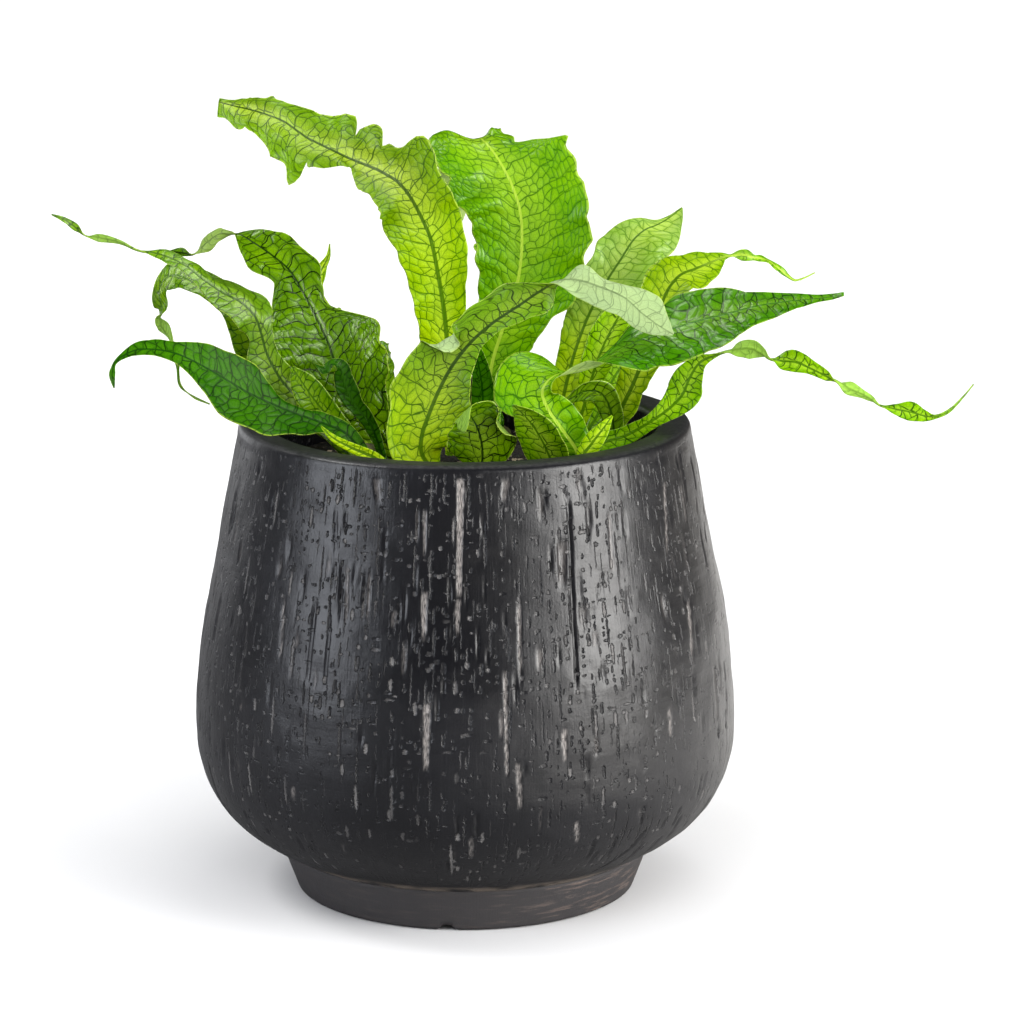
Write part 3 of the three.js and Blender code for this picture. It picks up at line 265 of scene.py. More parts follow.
# Marks of the margins: side (-1 left, 1 right), distance along the midrib, how far out (or in, when
# negative) and spread, in mm
MARGINS = {
    "tall_left": [
        (1, 171, 3.5, 2.2), (1, 184, -4.5, 1.6), (1, 194, 2.5, 3), (1, 200.5, -5, 1.1), (1, 205, 2, 2),
        (1, 252, 2, 1.8), (-1, 220.5, -4.5, 1.2), (-1, 225.5, 6, 2), (-1, 197, -2, 1.5),
        (-1, 264, -1.5, 1.2), (-1, 163, 2, 2), (1, 281, 1.5, 4), (-1, 281, 7, 5), (-1, 270, 1.5, 4),
    ],
    "tall_middle": [
        (1, 167, 8, 2.6), (1, 177, -4.5, 2.6), (1, 150, 1.5, 2), (1, 140, -1.2, 1.5), (1, 131, 1, 1.5),
        (-1, 188, 2, 2.5), (-1, 176, -2.5, 2),
    ],
    "front_twisted": [(-1, 94, 4.5, 6)],
    "left_folded": [(1, 120, 6, 5), (1, 138, 7, 16)],
    "left_broad": [(1, 92, 4, 5), (1, 128, 2.5, 5), (-1, 150, 2, 5), (1, 112, -2, 5), (-1, 84, 2, 4)],
    "right_sweeping": [(-1, 78, 6, 6), (-1, 86, 3, 5), (-1, 71, 1.5, 1.5), (-1, 66, -3, 1.8)],
    "front_rolled": [(-1, 57, 3, 3), (1, 60, 2, 3), (1, 47, 2, 2.5)],
}

# Curled and folded halves: side, distance along the midrib and spread in mm, the share of the half width
# where the curl starts, and degrees towards the face
CURLS = {
    "left_folded": [(1, 138, 24, 0.12, -70)],
    "front_twisted": [(-1, 94, 5.5, 0.5, 200), (1, 182, 14, 0.3, 45)],
    "front_rolled": [(1, 50, 5, 0.5, 90)],
    "left_drooping": [(-1, 52, 14, 0.5, 50), (1, 78, 16, 0.5, -30)],
    "left_broad": [(1, 88, 10, 0.4, -35), (-1, 128, 12, 0.3, -30)],
    "right_sweeping": [(1, 132, 20, 0.5, -25)],
    "right_upright": [(1, 140, 14, 0.4, -40), (-1, 112, 12, 0.4, 30)],
}

# Dents and bulges of the blades: distance along the midrib, place across, lift, and reach along and
# across, in mm
BULGES = {
    "tall_left": [
        (222, -12, -2.5, 7, 5), (205, -4, 2, 9, 4), (190, 9, 1.8, 5, 4), (176, 8, -1.8, 5, 5),
        (240, -9, 2, 8, 5), (262, 2, -1.5, 7, 4), (160, -11, 2, 6, 5), (216, 9, 1.6, 6, 5),
    ],
    "tall_middle": [
        (196, -18, 8, 13, 10), (196, 8, 3.5, 5, 3.6), (196, -26, 2, 4, 4), (172, -21, 2.6, 4, 12),
        (163, -21, -2.2, 4, 12), (154, -20, 2.4, 4, 11), (145, -18, -2, 4, 10), (168, 25, 1.5, 5, 8),
    ],
}


# Node trees. The same nodes give the relief of a mesh and the pattern of its material.


class Value:
    """An output of a node, with the sums that nodes make of it. Vectors are reckoned with as tuples."""

    def __init__(self, nodes, socket):
        self.nodes, self.socket = nodes, socket

    def __add__(self, other):
        return self.nodes.math("ADD", self, other)

    def __sub__(self, other):
        return self.nodes.math("SUBTRACT", self, other)

    def __rsub__(self, other):
        return self.nodes.math("SUBTRACT", other, self)

    def __mul__(self, other):
        return self.nodes.math("MULTIPLY", self, other)

    def __truediv__(self, other):
        return self.nodes.math("DIVIDE", self, other)

    def __pow__(self, other):
        return self.nodes.math("POWER", self, other)

    def __abs__(self):
        return self.nodes.math("ABSOLUTE", self)


class Nodes:
    def __init__(self, tree):
        self.tree = tree

    def put(self, socket, value):
        if isinstance(value, Value):
            self.tree.links.new(value.socket, socket)
        else:
            socket.default_value = value

    def add(self, kind, inputs, **settings):
        """A node with its settings, and values for its inputs by name or number."""
        node = self.tree.nodes.new(kind)
        for name, value in settings.items():
            setattr(node, name, value)
        for key, value in inputs.items():
            self.put(node.inputs[key], value)
        return node

    def get(self, kind, inputs=None, output=0, **settings):
        return Value(self, self.add(kind, inputs or {}, **settings).outputs[output])

    def math(self, operation, *values):
        vectors = [value for value in values if isinstance(value, Value) and value.socket.type == "VECTOR"]
        kind = "ShaderNodeVectorMath" if vectors else "ShaderNodeMath"
        return self.get(kind, dict(enumerate(values)), operation=operation)

    def most(self, *values):
        return reduce(lambda first, second: self.math("MAXIMUM", first, second), values)

    def step(self, value, low, high):
        """0 below low and 1 above high, with a smooth change between. high may be less than low."""
        limits = (high, low, 1, 0) if low > high else (low, high, 0, 1)
        inputs = dict(enumerate((value, *limits)))
        return self.get("ShaderNodeMapRange", inputs, interpolation_type="SMOOTHSTEP")

    def mix(self, factor, first, second):
        return self.get("ShaderNodeMix", {0: factor, 6: first, 7: second}, 2, data_type="RGBA")

    def noise(self, vector, scale, detail=2, roughness=0.5):
        inputs = {"Vector": vector, "Scale": scale, "Detail": detail, "Roughness": roughness}
        return self.get("ShaderNodeTexNoise", inputs)

    def voronoi(self, vector, scale=1, randomness=1, dimensions="2D", **settings):
        inputs = {"Vector": vector, "Scale": scale, "Randomness": randomness}
        node = self.add("ShaderNodeTexVoronoi", inputs, voronoi_dimensions=dimensions, **settings)
        return {output.name: Value(self, output) for output in node.outputs}

    def parts(self, vector):
        return [Value(self, output) for output in self.add("ShaderNodeSeparateXYZ", {0: vector}).outputs]

    def position(self):
        return self.get("ShaderNodeTexCoord", output="Object")

    def stored(self, name):
        return self.get("ShaderNodeAttribute", output="Vector", attribute_name=name)


class Paint(Nodes):
    """The nodes of a new material."""

    def __init__(self, name, colour):
        self.material = bpy.data.materials.new(name)
        self.material.use_nodes = True
        self.material.diffuse_color = colour
        super().__init__(self.material.node_tree)

    def finished(self, inputs, height=None, distance=0.001, strength=1):
        """The material, with inputs for its shader, and bumps from height whose distance is in metres."""
        if height:
            bump = {"Height": height, "Distance": distance, "Strength": strength}
            inputs = {**inputs, "Normal": self.get("ShaderNodeBump", bump)}
        for name, value in inputs.items():
            self.put(self.tree.nodes["Principled BSDF"].inputs[name], value)
        return self.material


def rgb(*channels):
    """An sRGB colour of 0 to 255 as Blender's linear colour."""
    share = np.array(channels) / 255
    return (*np.where(share <= 0.04045, share / 12.92, ((share + 0.055) / 1.055) ** 2.4), 1.0)


def linked(name, data):
    """An object in the scene."""
    made = bpy.data.objects.new(name, data)
    bpy.context.scene.collection.objects.link(made)
    return made


def net(nodes, place):
    """The net of veins. place runs across in cells and along in cells, and every second row of cells is
    bounded by a lateral vein. Gives the distance to the nearest small vein, the distance to the nearest
    lateral (both in cells) and the distance in the finest net."""
    small = nodes.voronoi(place, 1, NET_RANDOMNESS, feature="DISTANCE_TO_EDGE")["Distance"]
    fine = nodes.voronoi(place, 3.3, 0.9, feature="DISTANCE_TO_EDGE")["Distance"]
    row = nodes.parts(place)[1] + (0.5 - NET_RANDOMNESS / 2)
    return small, nodes.math("PINGPONG", row * 0.5, 0.5) * 2, fine


def relief_of(places):
    """The small-vein and lateral distances at many places, from the same nodes as the materials have."""
    tree = bpy.data.node_groups.new("net_relief", "GeometryNodeTree")
    for direction in ("INPUT", "OUTPUT"):
        tree.interface.new_socket("Geometry", in_out=direction, socket_type="NodeSocketGeometry")
    nodes = Nodes(tree)
    geometry = nodes.get("NodeGroupInput")
    names = ("small", "lateral")
    for name, value in zip(names, net(nodes, nodes.get("GeometryNodeInputPosition"))):
        store = nodes.add("GeometryNodeStoreNamedAttribute", {"Geometry": geometry, "Name": name})
        nodes.put(next(s for s in store.inputs if s.name == "Value" and s.enabled), value)
        geometry = Value(nodes, store.outputs[0])
    nodes.add("NodeGroupOutput", {0: geometry})

    mesh = bpy.data.meshes.new("net_points")
    mesh.vertices.add(len(places))
    mesh.vertices.foreach_set("co", places.astype(np.float32).ravel())
    carrier = linked("net_points", mesh)
    carrier.modifiers.new("net", "NODES").node_group = tree
    bpy.context.view_layer.update()
    result = carrier.evaluated_get(bpy.context.evaluated_depsgraph_get()).data
    values = np.zeros((len(names), len(places)), np.float32)
    for name, row in zip(names, values):
        result.attributes[name].data.foreach_get("value", row)
    bpy.data.objects.remove(carrier)
    bpy.data.meshes.remove(mesh)
    bpy.data.node_groups.remove(tree)
    return values.astype(float)


# Curves and waves


def unit(vectors):
    return vectors / np.maximum(np.linalg.norm(vectors, axis=-1, keepdims=True), 1e-9)


def run_along(points):
    """How far along a line of points each of them is."""
    return np.concatenate([[0], np.cumsum(np.linalg.norm(np.diff(points, axis=0), axis=1))])


def smoothstep(value, low, high):
    share = np.clip((value - low) / (high - low), 0, 1)
    return share * share * (3 - 2 * share)


def placed(x, z, y, left, right=None, roll=0):
    """A row's key: its point on the line of sight from the eye through (x, 0, z) at depth y, and the rest."""
    reach = (y - EYE[1]) / -EYE[1]
    right = left if right is None else right
    return [EYE[0] + (x - EYE[0]) * reach, y, EYE[2] + (z - EYE[2]) * reach, left, right, roll]


def smooth(keys):
    keys = np.array(keys, float)
    count = len(keys)
    steps = np.linalg.norm(np.diff(keys[:, :3], axis=0), axis=1)
    knots = np.concatenate([[0], np.cumsum(np.sqrt(steps))])
    before = np.maximum(np.arange(count) - 1, 0)
    after = np.minimum(np.arange(count) + 1, count - 1)
    slopes = (keys[after] - keys[before]) / (knots[after] - knots[before])[:, None]
    t = (np.arange(DENSE) / DENSE)[:, None]
    samples = []
    for i in range(count - 1):
        span = knots[i + 1] - knots[i]
        ends = (1 + 2 * t) * (1 - t) ** 2 * keys[i] + t * t * (3 - 2 * t) * keys[i + 1]
        bends = t * (1 - t) ** 2 * span * slopes[i] + t * t * (t - 1) * span * slopes[i + 1]
        samples.append(ends + bends)
    return np.concatenate([*samples, keys[-1:]])


class Rib:
    """The midrib of a frond at even distances: points, directions, face normals and half widths."""

    def __init__(self, frond, spacing):
        heights = np.cumsum([SOIL_TOP - STALK_DEPTH, STALK_DEPTH + CLEAR_OF_SOIL, UPRIGHT])
        stalk = [[*frond.foot, height, frond.stalk, frond.stalk, 0] for height in heights]
        samples = smooth(stalk + [placed(*row) for row in frond.rows])
        points = samples[:, :3]
        ahead = np.concatenate([points[1:], points[-1:]])
        behind = np.concatenate([points[:1], points[:-1]])
        along = unit(ahead - behind)
        normals = np.zeros_like(points)
        normal = np.array([0.0, -1.0, 0.0])
        for i, direction in enumerate(along):
            normal = unit(normal - normal.dot(direction) * direction)
            normals[i] = normal
        up = np.array([0.0, 0.0, 1.0])
        face = unit(normals + frond.lean * (up - along[:, 2:] * along))
        roll = np.radians(samples[:, 5:6])
        face = face * np.cos(roll) + np.cross(along, face) * np.sin(roll)
        distance = run_along(points)
        self.length = distance[-1]
        self.distance = np.linspace(0, self.length, round(self.length / spacing) + 1)

        def at_even_distances(values):
            columns = values.reshape(len(values), -1).T
            return np.stack([np.interp(self.distance, distance, column) for column in columns], 1)

        self.point = at_even_distances(points)
        self.along = unit(at_even_distances(along))
        self.face = unit(at_even_distances(face))
        self.left = at_even_distances(np.maximum(samples[:, 3], LEAST_HALF_WIDTH))
        self.right = at_even_distances(np.maximum(samples[:, 4], LEAST_HALF_WIDTH))


def wave(distance, length, phase):
    return np.sin(2 * np.pi * distance / length + phase)


def lobes(distance, side, seed):
    slow = wave(distance, 27 + 3 * side, 1.7 * seed + side)
    return 0.6 * slow + 0.4 * wave(distance, 15 - side, 2.9 * seed)


def ruffles(distance, side, seed):
    slow = wave(distance, 36 + 4 * side, 2.3 * seed + side)
    return 0.7 * slow + 0.3 * wave(distance, 19 - side, 1.1 * seed)


def drift(first, second, seed, size):
    """A smooth random field of about -1 to 1 over two coordinates, with features of about the given size."""
    draws = np.random.default_rng(seed)
    total = 0
    for _ in range(6):
        angle, phase = draws.uniform(0, 2 * np.pi, 2)
        length = size * draws.uniform(0.7, 1.8)
        total = total + wave(first * math.cos(angle) + second * math.sin(angle), length, phase)
    return total / 3


# Meshes


def mesh_object(name, points, faces, uvs=None, vectors=None, slots=None):
    """points are in mm, and faces are arrays of quads or triangles. uvs has a name and a pair for each
    corner of each face, vectors a name and a vector for each point, and slots the index of each face's
    material."""
    mesh = bpy.data.meshes.new(name)
    mesh.vertices.add(len(points))
    mesh.vertices.foreach_set("co", (np.asarray(points) * MM).astype(np.float32).ravel())
    corners = np.concatenate([part.ravel() for part in faces]).astype(np.int32)
    sides = np.concatenate([np.full(len(part), part.shape[1]) for part in faces])
    mesh.loops.add(len(corners))
    mesh.loops.foreach_set("vertex_index", corners)
    mesh.polygons.add(len(sides))
    mesh.polygons.foreach_set("loop_start", (np.cumsum(sides) - sides).astype(np.int32))
    mesh.polygons.foreach_set("use_smooth", np.ones(len(sides), bool))
    if slots is not None:
        mesh.polygons.foreach_set("material_index", slots.astype(np.int32))
    mesh.update(calc_edges=True)
    if uvs:
        layer = mesh.uv_layers.new(name=uvs[0])
        layer.data.foreach_set("uv", uvs[1].astype(np.float32).ravel())
    if vectors:
        attribute = mesh.attributes.new(vectors[0], "FLOAT_VECTOR", "POINT")
        attribute.data.foreach_set("vector", vectors[1].astype(np.float32).ravel())
    mesh.validate()
    return linked(name, mesh)


def grid_faces(rows, columns, start=0):
    """Quads of a grid of points that is stored row by row."""
    i, j = np.meshgrid(np.arange(rows - 1), np.arange(columns - 1), indexing="ij")
    a = (start + i * columns + j).ravel()
    return np.stack([a, a + 1, a + columns + 1, a + columns], 1)


def tube_faces(rows, sides):
    """Quads between rings of points, and fans that close the ends at the two points after the rings."""
    j = np.arange(sides)
    k = (j + 1) % sides
    start = np.repeat(np.arange(rows - 1) * sides, sides)[:, None]
    wall = start + np.tile(np.stack([j, k, k + sides, j + sides], -1), (rows - 1, 1))
    last, centre = (rows - 1) * sides, np.full(sides, rows * sides)
    return [wall, np.stack([k, j, centre], -1), np.stack([j + last, k + last, centre + 1], -1)]


# Leaves


def leaf(frond, seed):
    rib = Rib(frond, GRID)
    widest = max(rib.left.max(), rib.right.max())
    half_columns = int(np.clip(round(widest / GRID), 5, MOST_HALF_COLUMNS))
    spread = np.linspace(-1, 1, 2 * half_columns + 1)
    across, distance = np.meshgrid(spread, rib.distance)
    side, reach = np.sign(across), np.abs(across)
    blade = smoothstep(distance - STALK_DEPTH - CLEAR_OF_SOIL, 0, STALK_FADE)
    tip = np.clip((rib.length - distance) / (0.3 * rib.length), 0, 1)

    half = np.where(side < 0, rib.left, rib.right)
    half = half * (1 + frond.lobe * blade * lobes(distance, side, seed))
    half = np.maximum(half, LEAST_HALF_WIDTH)
    cuts = notches(distance, side, seed, rib.length, frond.cut)
    outer = reach - cuts / half * blade * smoothstep(reach, 0.55, 1)
    push = marked(frond.name, side, distance) * blade * smoothstep(reach, 0.5, 1)

    run = half * outer + push
    turn = np.radians(frond.cup) * blade * outer + curled(frond.name, side, distance, reach)
    out, rise = swept(run, turn, half_columns)
    along = rib.along[:, None]
    face = rib.face[:, None]
    sideways = unit(np.cross(along, face))
    normal = face * np.cos(turn)[..., None] - sideways * (side * np.sin(turn))[..., None]
    lift = frond.ruffle * half * blade * reach**2 * ruffles(distance, side, seed)
    fringe = drift(distance, side * 40, 500 + seed, 15)
    lift = lift + frond.frill * blade * np.minimum(half / 12, 1) * reach**4 * fringe
    for where, sideways_by, height, reach_along, reach_across in BULGES.get(frond.name, []):
        near_it = ((distance - where) / reach_along) ** 2 + ((side * run - sideways_by) / reach_across) ** 2
        lift = lift + height * np.exp(-near_it)
    middle = rib.point[:, None] + sideways * (side * out)[..., None] + face * rise[..., None]
    middle = middle + normal * lift[..., None]

    mm_across = side * run
    place = net_places(mm_across, distance + stretched(middle, half_columns), side, seed, frond.cell)
    small, lateral = relief_of(place.reshape(-1, 3)).reshape(2, *distance.shape)
    width = np.abs(mm_across)
    in_blade = blade * smoothstep(width, 0.6, 3) * smoothstep(half - width, 0, 2.5)
    domes = 0.6 * smoothstep(small, 0.02, 0.42) * smoothstep(lateral, 0.03, 0.4)
    quilt = smoothstep(lateral, 0, 0.9) * smoothstep(width, 1, 9)
    relief = frond.relief * in_blade * (0.4 * domes + 1.8 * quilt - 1.0)
    ridge = blade * tip * np.exp(-((mm_across / RIDGE_WIDTH) ** 2))

    thickness = LEAF_THICKNESS + (EDGE_THICKNESS - LEAF_THICKNESS) * smoothstep(reach, 0.7, 1)
    stalk = (1 - blade) * (STALK_THICKNESS - LEAF_THICKNESS) * np.sqrt(np.maximum(0, 1 - across**2))
    normal = unit(normal)
    upper = middle + normal * ((thickness + stalk) / 2 + relief + RIDGE_ABOVE * ridge)[..., None]
    lower = middle - normal * ((thickness + stalk) / 2 - relief + RIDGE_BELOW * ridge)[..., None]
    return leaf_object(frond, upper, lower, place, np.stack([across, mm_across, distance / rib.length], -1))


def swept(run, turn, middle):
    """How far out and up the points of each cross-section come, from the middle column to both sides."""
    out, rise = np.zeros_like(run), np.zeros_like(run)
    for columns in (slice(middle, None), slice(middle, None, -1)):
        steps = np.diff(run[:, columns], axis=1)
        angle = (turn[:, columns][:, 1:] + turn[:, columns][:, :-1]) / 2
        out[:, columns][:, 1:] = np.cumsum(steps * np.cos(angle), 1)
        rise[:, columns][:, 1:] = np.cumsum(steps * np.sin(angle), 1)
    return out, rise


def stretched(middle, rib_column):
    """How much further than the midrib the outer side of a bend runs, in mm, fading beyond the bend."""
    steps = np.linalg.norm(np.diff(middle, axis=0), axis=-1)
    own = steps[:, rib_column : rib_column + 1]
    extra = np.clip(steps - own, -0.85 * own, 3 * own)
    total = np.zeros(middle.shape[:2])
    for row in range(len(extra)):
        total[row + 1] = total[row] * (1 - own[row] / STRETCH_FADE) + extra[row]
    return total


def curled(name, side, distance, reach):
    """How far the blade turns beyond its cup, in radians."""
    total = np.zeros_like(distance)
    for which, where, spread, start, degrees in CURLS.get(name, []):
        here = np.exp(-(((distance - where) / spread) ** 4)) * smoothstep(reach, start, min(start + 0.35, 1))
        total = total + np.where(side == which, math.radians(degrees) * here, 0)
    return total


def marked(name, side, distance):
    """How far the margin's own marks move it out, in mm."""
    total = np.zeros_like(distance)
    for which, where, height, spread in MARGINS.get(name, []):
        total = total + np.where(side == which, height * np.exp(-(((distance - where) / spread) ** 2)), 0)
    return total


def notches(distance, side, seed, length, cut):
    """How far the margin is cut in, in mm: small teeth everywhere and a few sharp notches."""
    teeth = 0.5 + 0.5 * drift(distance, side * 25, 300 + seed, 8)
    total = 0.3 * cut * teeth**2
    draws = np.random.default_rng(400 + seed)
    for _ in range(int(length / 16)):
        where, depth, spread, which = draws.uniform((30, 0.3, 0.8, -1), (length - 8, 1, 3.2, 1))
        notch = depth * cut * np.exp(-np.abs(distance - where) / spread)
        total = np.maximum(total, np.where(side * which > 0, notch, 0))
    return total


def net_places(across, distance, side, seed, cell):
    """The place of each point in the net, in cells. Laterals leave the midrib forwards and alternate."""
    width = np.abs(across)
    forwards = 0.52 * width + 0.007 * width**2
    wander = 0.34 * drift(across, distance, 100 + seed, 15) * smoothstep(width, 0.5, 6)
    along = (distance - forwards) / cell + wander + np.where(side < 0, 1.0, 0.0)
    outwards = across / cell * (0.75 + 0.018 * width) + 0.16 * drift(across, distance, 200 + seed, 14)
    return np.stack([outwards + 31.7 * seed, along + 17.0 * (seed % 5) * 2, np.zeros_like(along)], -1)


def leaf_object(frond, upper, lower, place, blade):
    rows, columns = upper.shape[:2]
    below = rows * columns
    top = grid_faces(rows, columns)
    bottom = grid_faces(rows, columns, below)[:, ::-1]
    step = np.arange(rows - 1) * columns
    left = np.stack([step, step + columns, step + columns + below, step + below], 1)
    right = left[:, ::-1] + columns - 1
    line = np.arange(columns - 1)
    foot = np.stack([line, line + below, line + below + 1, line + 1], 1)
    end = foot[:, ::-1] + (rows - 1) * columns
    faces = np.concatenate([top, bottom, left, right, foot, end])
    slots = np.zeros(len(faces))
    slots[len(top) : 2 * len(top)] = 1
    points, places, vectors = (
        np.concatenate([above.reshape(-1, 3), under.reshape(-1, 3)])
        for above, under in ((upper, lower), (place, place), (blade, blade)))
    uvs = ("net", places[faces][..., :2])
    made = mesh_object(f"frond_{frond.name}_leaf", points, [faces], uvs, ("blade", vectors), slots)
    for under in (False, True):
        made.data.materials.append(leaf_material((frond.near, frond.far, frond.turnover), under))
    return made


leaf_materials = {}


def leaf_material(look, under):
    if (look, under) not in leaf_materials:
        leaf_materials[look, under] = make_leaf_material(look, under)
    return leaf_materials[look, under]


def tint(look, index):
    """A colour of a look, made as light as the look says."""
    name, lightness = look
    return (*(min(channel * lightness, 1.0) for channel in rgb(*LOOKS[name][index])[:3]), 1.0)


def make_leaf_material(look, under):
    near, far, turnover = look
    side = "under" if under else "upper"
    nodes = Paint(f"leaf_{near[0]}_{far[0]}_{len(leaf_materials) + 1}_{side}", tint(near, 0))
    place = nodes.get("ShaderNodeUVMap", uv_map="net")
    across, mm_across, along = nodes.parts(nodes.stored("blade"))
    reach, width = abs(across), abs(mm_across)
    position = nodes.position()
    small, lateral, fine = net(nodes, place)
    turned = nodes.step(along, turnover - 0.1, turnover + 0.1)

    def between(index):
        return tint(near, index) if near == far else nodes.mix(turned, tint(near, index), tint(far, index))

    roughness, strength, pale, gloss, rib = ((LOOKS[near[0]][i] + LOOKS[far[0]][i]) / 2 for i in range(5, 10))

    stronger = nodes.step(nodes.noise(place, 0.55), 0.3, 0.62) * 0.55 + 0.45
    small_vein = nodes.step(small, 0.07, 0.03) * stronger
    lateral_vein = nodes.step(lateral, 0.09, 0.04) * nodes.step(width, 60, 4)
    fine_vein = nodes.step(fine, 0.13, 0.03) * 0.3
    veins = nodes.most(small_vein, lateral_vein, fine_vein) * (strength * (0.5 if under else 1))

    middle = nodes.step(small, 0.04, 0.36)
    blotch = nodes.step(nodes.noise(position, 40, 4, 0.6), 0.3, 0.7)
    ground = nodes.mix(middle * 0.4 + blotch * 0.6, between(0), between(1))
    ground = nodes.mix(nodes.step(reach, 0.7, 0.05) * pale, ground, rgb(206, 222, 84))
    tone = nodes.step(nodes.noise(position, 11), 0.38, 0.62)
    deeper = tuple(np.multiply(tint(near, 0), (0.5, 0.72, 0.6, 1)))
    ground = nodes.mix((nodes.step(reach, 0.3, 0.95) * 0.5 + tone) * 0.36, ground, deeper)
    if under:
        ground = nodes.mix(0.8, ground, between(4))
    ground = nodes.mix(nodes.step(reach, 0.955, 0.985) * 0.5, ground, rgb(150, 170, 60))
    colour = nodes.mix(veins, ground, between(2))
    rib_share = nodes.step(width / (along * (0.35 - rib) + rib), 1, 0.6)
    colour = nodes.mix(rib_share * (0.4 if under else 0.9), colour, between(3))

    height = middle * 0.12 - veins * 0.05 + nodes.noise(position, 1100) * 0.025 + blotch * 0.12
    return nodes.finished({
        "Base Color": colour,
        "Roughness": nodes.noise(position, 60) * 0.16 + (roughness + (0.14 if under else 0) - 0.08),
        "Specular IOR Level": gloss * (0.6 if under else 1),
        "Specular Tint": (0.92, 1, 0.76, 1),
    }, height, -0.001 if under else 0.001, 0.8)


# Planter. Its rings are radius and height.

POT_SIDES = 600
WALL_RADIUS = 130
POT_HEIGHT = 247
FRONT_SHARE = 0.6

FOOT = [
    (20, 0), (45, 0), (70, 0), (84, 0), (87, 0.1), (88.4, 0.8), (89, 2.2), (90.4, 6), (91.9, 10), (93.4, 14),
    (94.8, 18), (95.9, 21), (96.4, 22.6), (96.2, 23.3),
]
BELLY = [
    (96.7, 23.6), (111.3, 32), (124.2, 42.5), (133.3, 55.5), (138.8, 71), (140.5, 88), (139.3, 112),
    (135.3, 145), (128.1, 180), (121.8, 215), (116.9, 240),
]
RIM = [
    (116.9, 240), (116.5, 243), (115.8, 245.2), (114.2, 246.5), (111.5, POT_HEIGHT), (107, 246.8),
    (103, 246.5), (100.4, 245.6), (99.1, 243.8), (98.8, 242),
]
INNER_WALL = [
    (99.6, 238), (101.3, 230), (103.5, 222), (107.5, 205), (116, 165), (127, 90), (109, 46), (70, 13),
    (35, 13), (8, 13),
]
DRAIN_CIRCLE, DRAIN_RADIUS, GROOVE_RADIUS, GROOVE_RISE, GROOVE_END, FRONT_GROOVE = 45, 6, 5, -1.6, 100, -5.5

# The larger gouges: degrees at the top and at the bottom, heights there, half width, depth and paleness.
# Degrees run from the front to the right.
GOUGES = [
    (-0.3, -0.7, 243, 186, 2, 0.55, 1), (-0.9, -1, 182, 168, 1.4, 0.4, 0.8),
    (25.9, 24.4, 228, 139, 1.1, 1.2, 0), (23.5, 22.9, 209, 190, 2.9, 1.3, 0.3),
    (-8.4, -8.2, 185, 165, 1.7, 0.6, 0.9), (-7.2, -7.3, 133, 101, 2, 0.6, 0.9),
    (-21, -20, 239, 229, 2.2, 0.7, 0.3), (10.6, 9.9, 240, 231, 2.2, 0.6, 0.4),
    (-28.4, -27.4, 195, 169, 1, 0.9, 0), (-27, -26, 195, 170, 1, 0.8, 0.4),
    (-22.5, -22, 193, 174, 0.9, 0.8, 0), (-21.4, -21, 192, 174, 0.9, 0.7, 0.4),
    (-34.4, -34, 175, 139, 0.9, 0.9, 0), (-29.9, -29.7, 164, 139, 0.8, 0.8, 0),
    (8.9, 9, 146, 98, 1, 0.6, 0.9), (12.6, 12.2, 180, 149, 1.1, 0.6, 0.6),
    (11.3, 11.7, 102, 80, 1.5, 0.5, 0.6), (21.1, 21.2, 117, 103, 1.6, 0.6, 0.9),
    (24, 24.9, 69, 58, 1.3, 0.5, 0.7), (59.6, 58, 165, 140, 1.5, 0.5, 0.7),
    (57.4, 54.5, 227, 194, 1, 0.5, 0.7), (36.7, 36.1, 218, 191, 1.2, 0.5, 0.4),
    (29.4, 28.9, 241, 232, 2, 0.6, 0.2), (-31.3, -30.2, 223, 201, 0.8, 0.7, 0),
    (-8.7, -8.5, 225, 204, 0.9, 0.5, 0.7), (-43.4, -42, 174, 145, 0.8, 0.5, 0.6),
    (31, 30.6, 225, 211, 1.5, 1, 0.1), (19, 18.8, 232, 222, 1.6, 0.8, 0.2),
    (27.5, 27.2, 176, 168, 2.6, 0.9, 0.2), (30, 29.6, 164, 157, 2.2, 0.7, 0.3),
    (16.6, 16.4, 158, 149, 1.9, 0.6, 0.5), (42.9, 41, 56, 45, 1, 0.9, 0), (41, 36, 46, 32, 1, 0.9, 0),
    (48.2, 48, 118, 104, 1.4, 0.6, 0.8),
]


def spline(points, count):
    """A uniform Catmull-Rom curve through points, whose ends are repeated."""
    points = np.array(points, float)
    last = len(points) - 1
    place = np.linspace(0, last, count)
    i = np.minimum(place.astype(int), last - 1)
    t = (place - i)[:, None]
    before, after = points[np.maximum(i - 1, 0)], points[np.minimum(i + 2, last)]
    a, b = points[i], points[i + 1]
    out, back = (b - before) / 2, (after - a) / 2
    return (2 * a - 2 * b + out + back) * t**3 + (3 * b - 3 * a - 2 * out - back) * t**2 + out * t + a


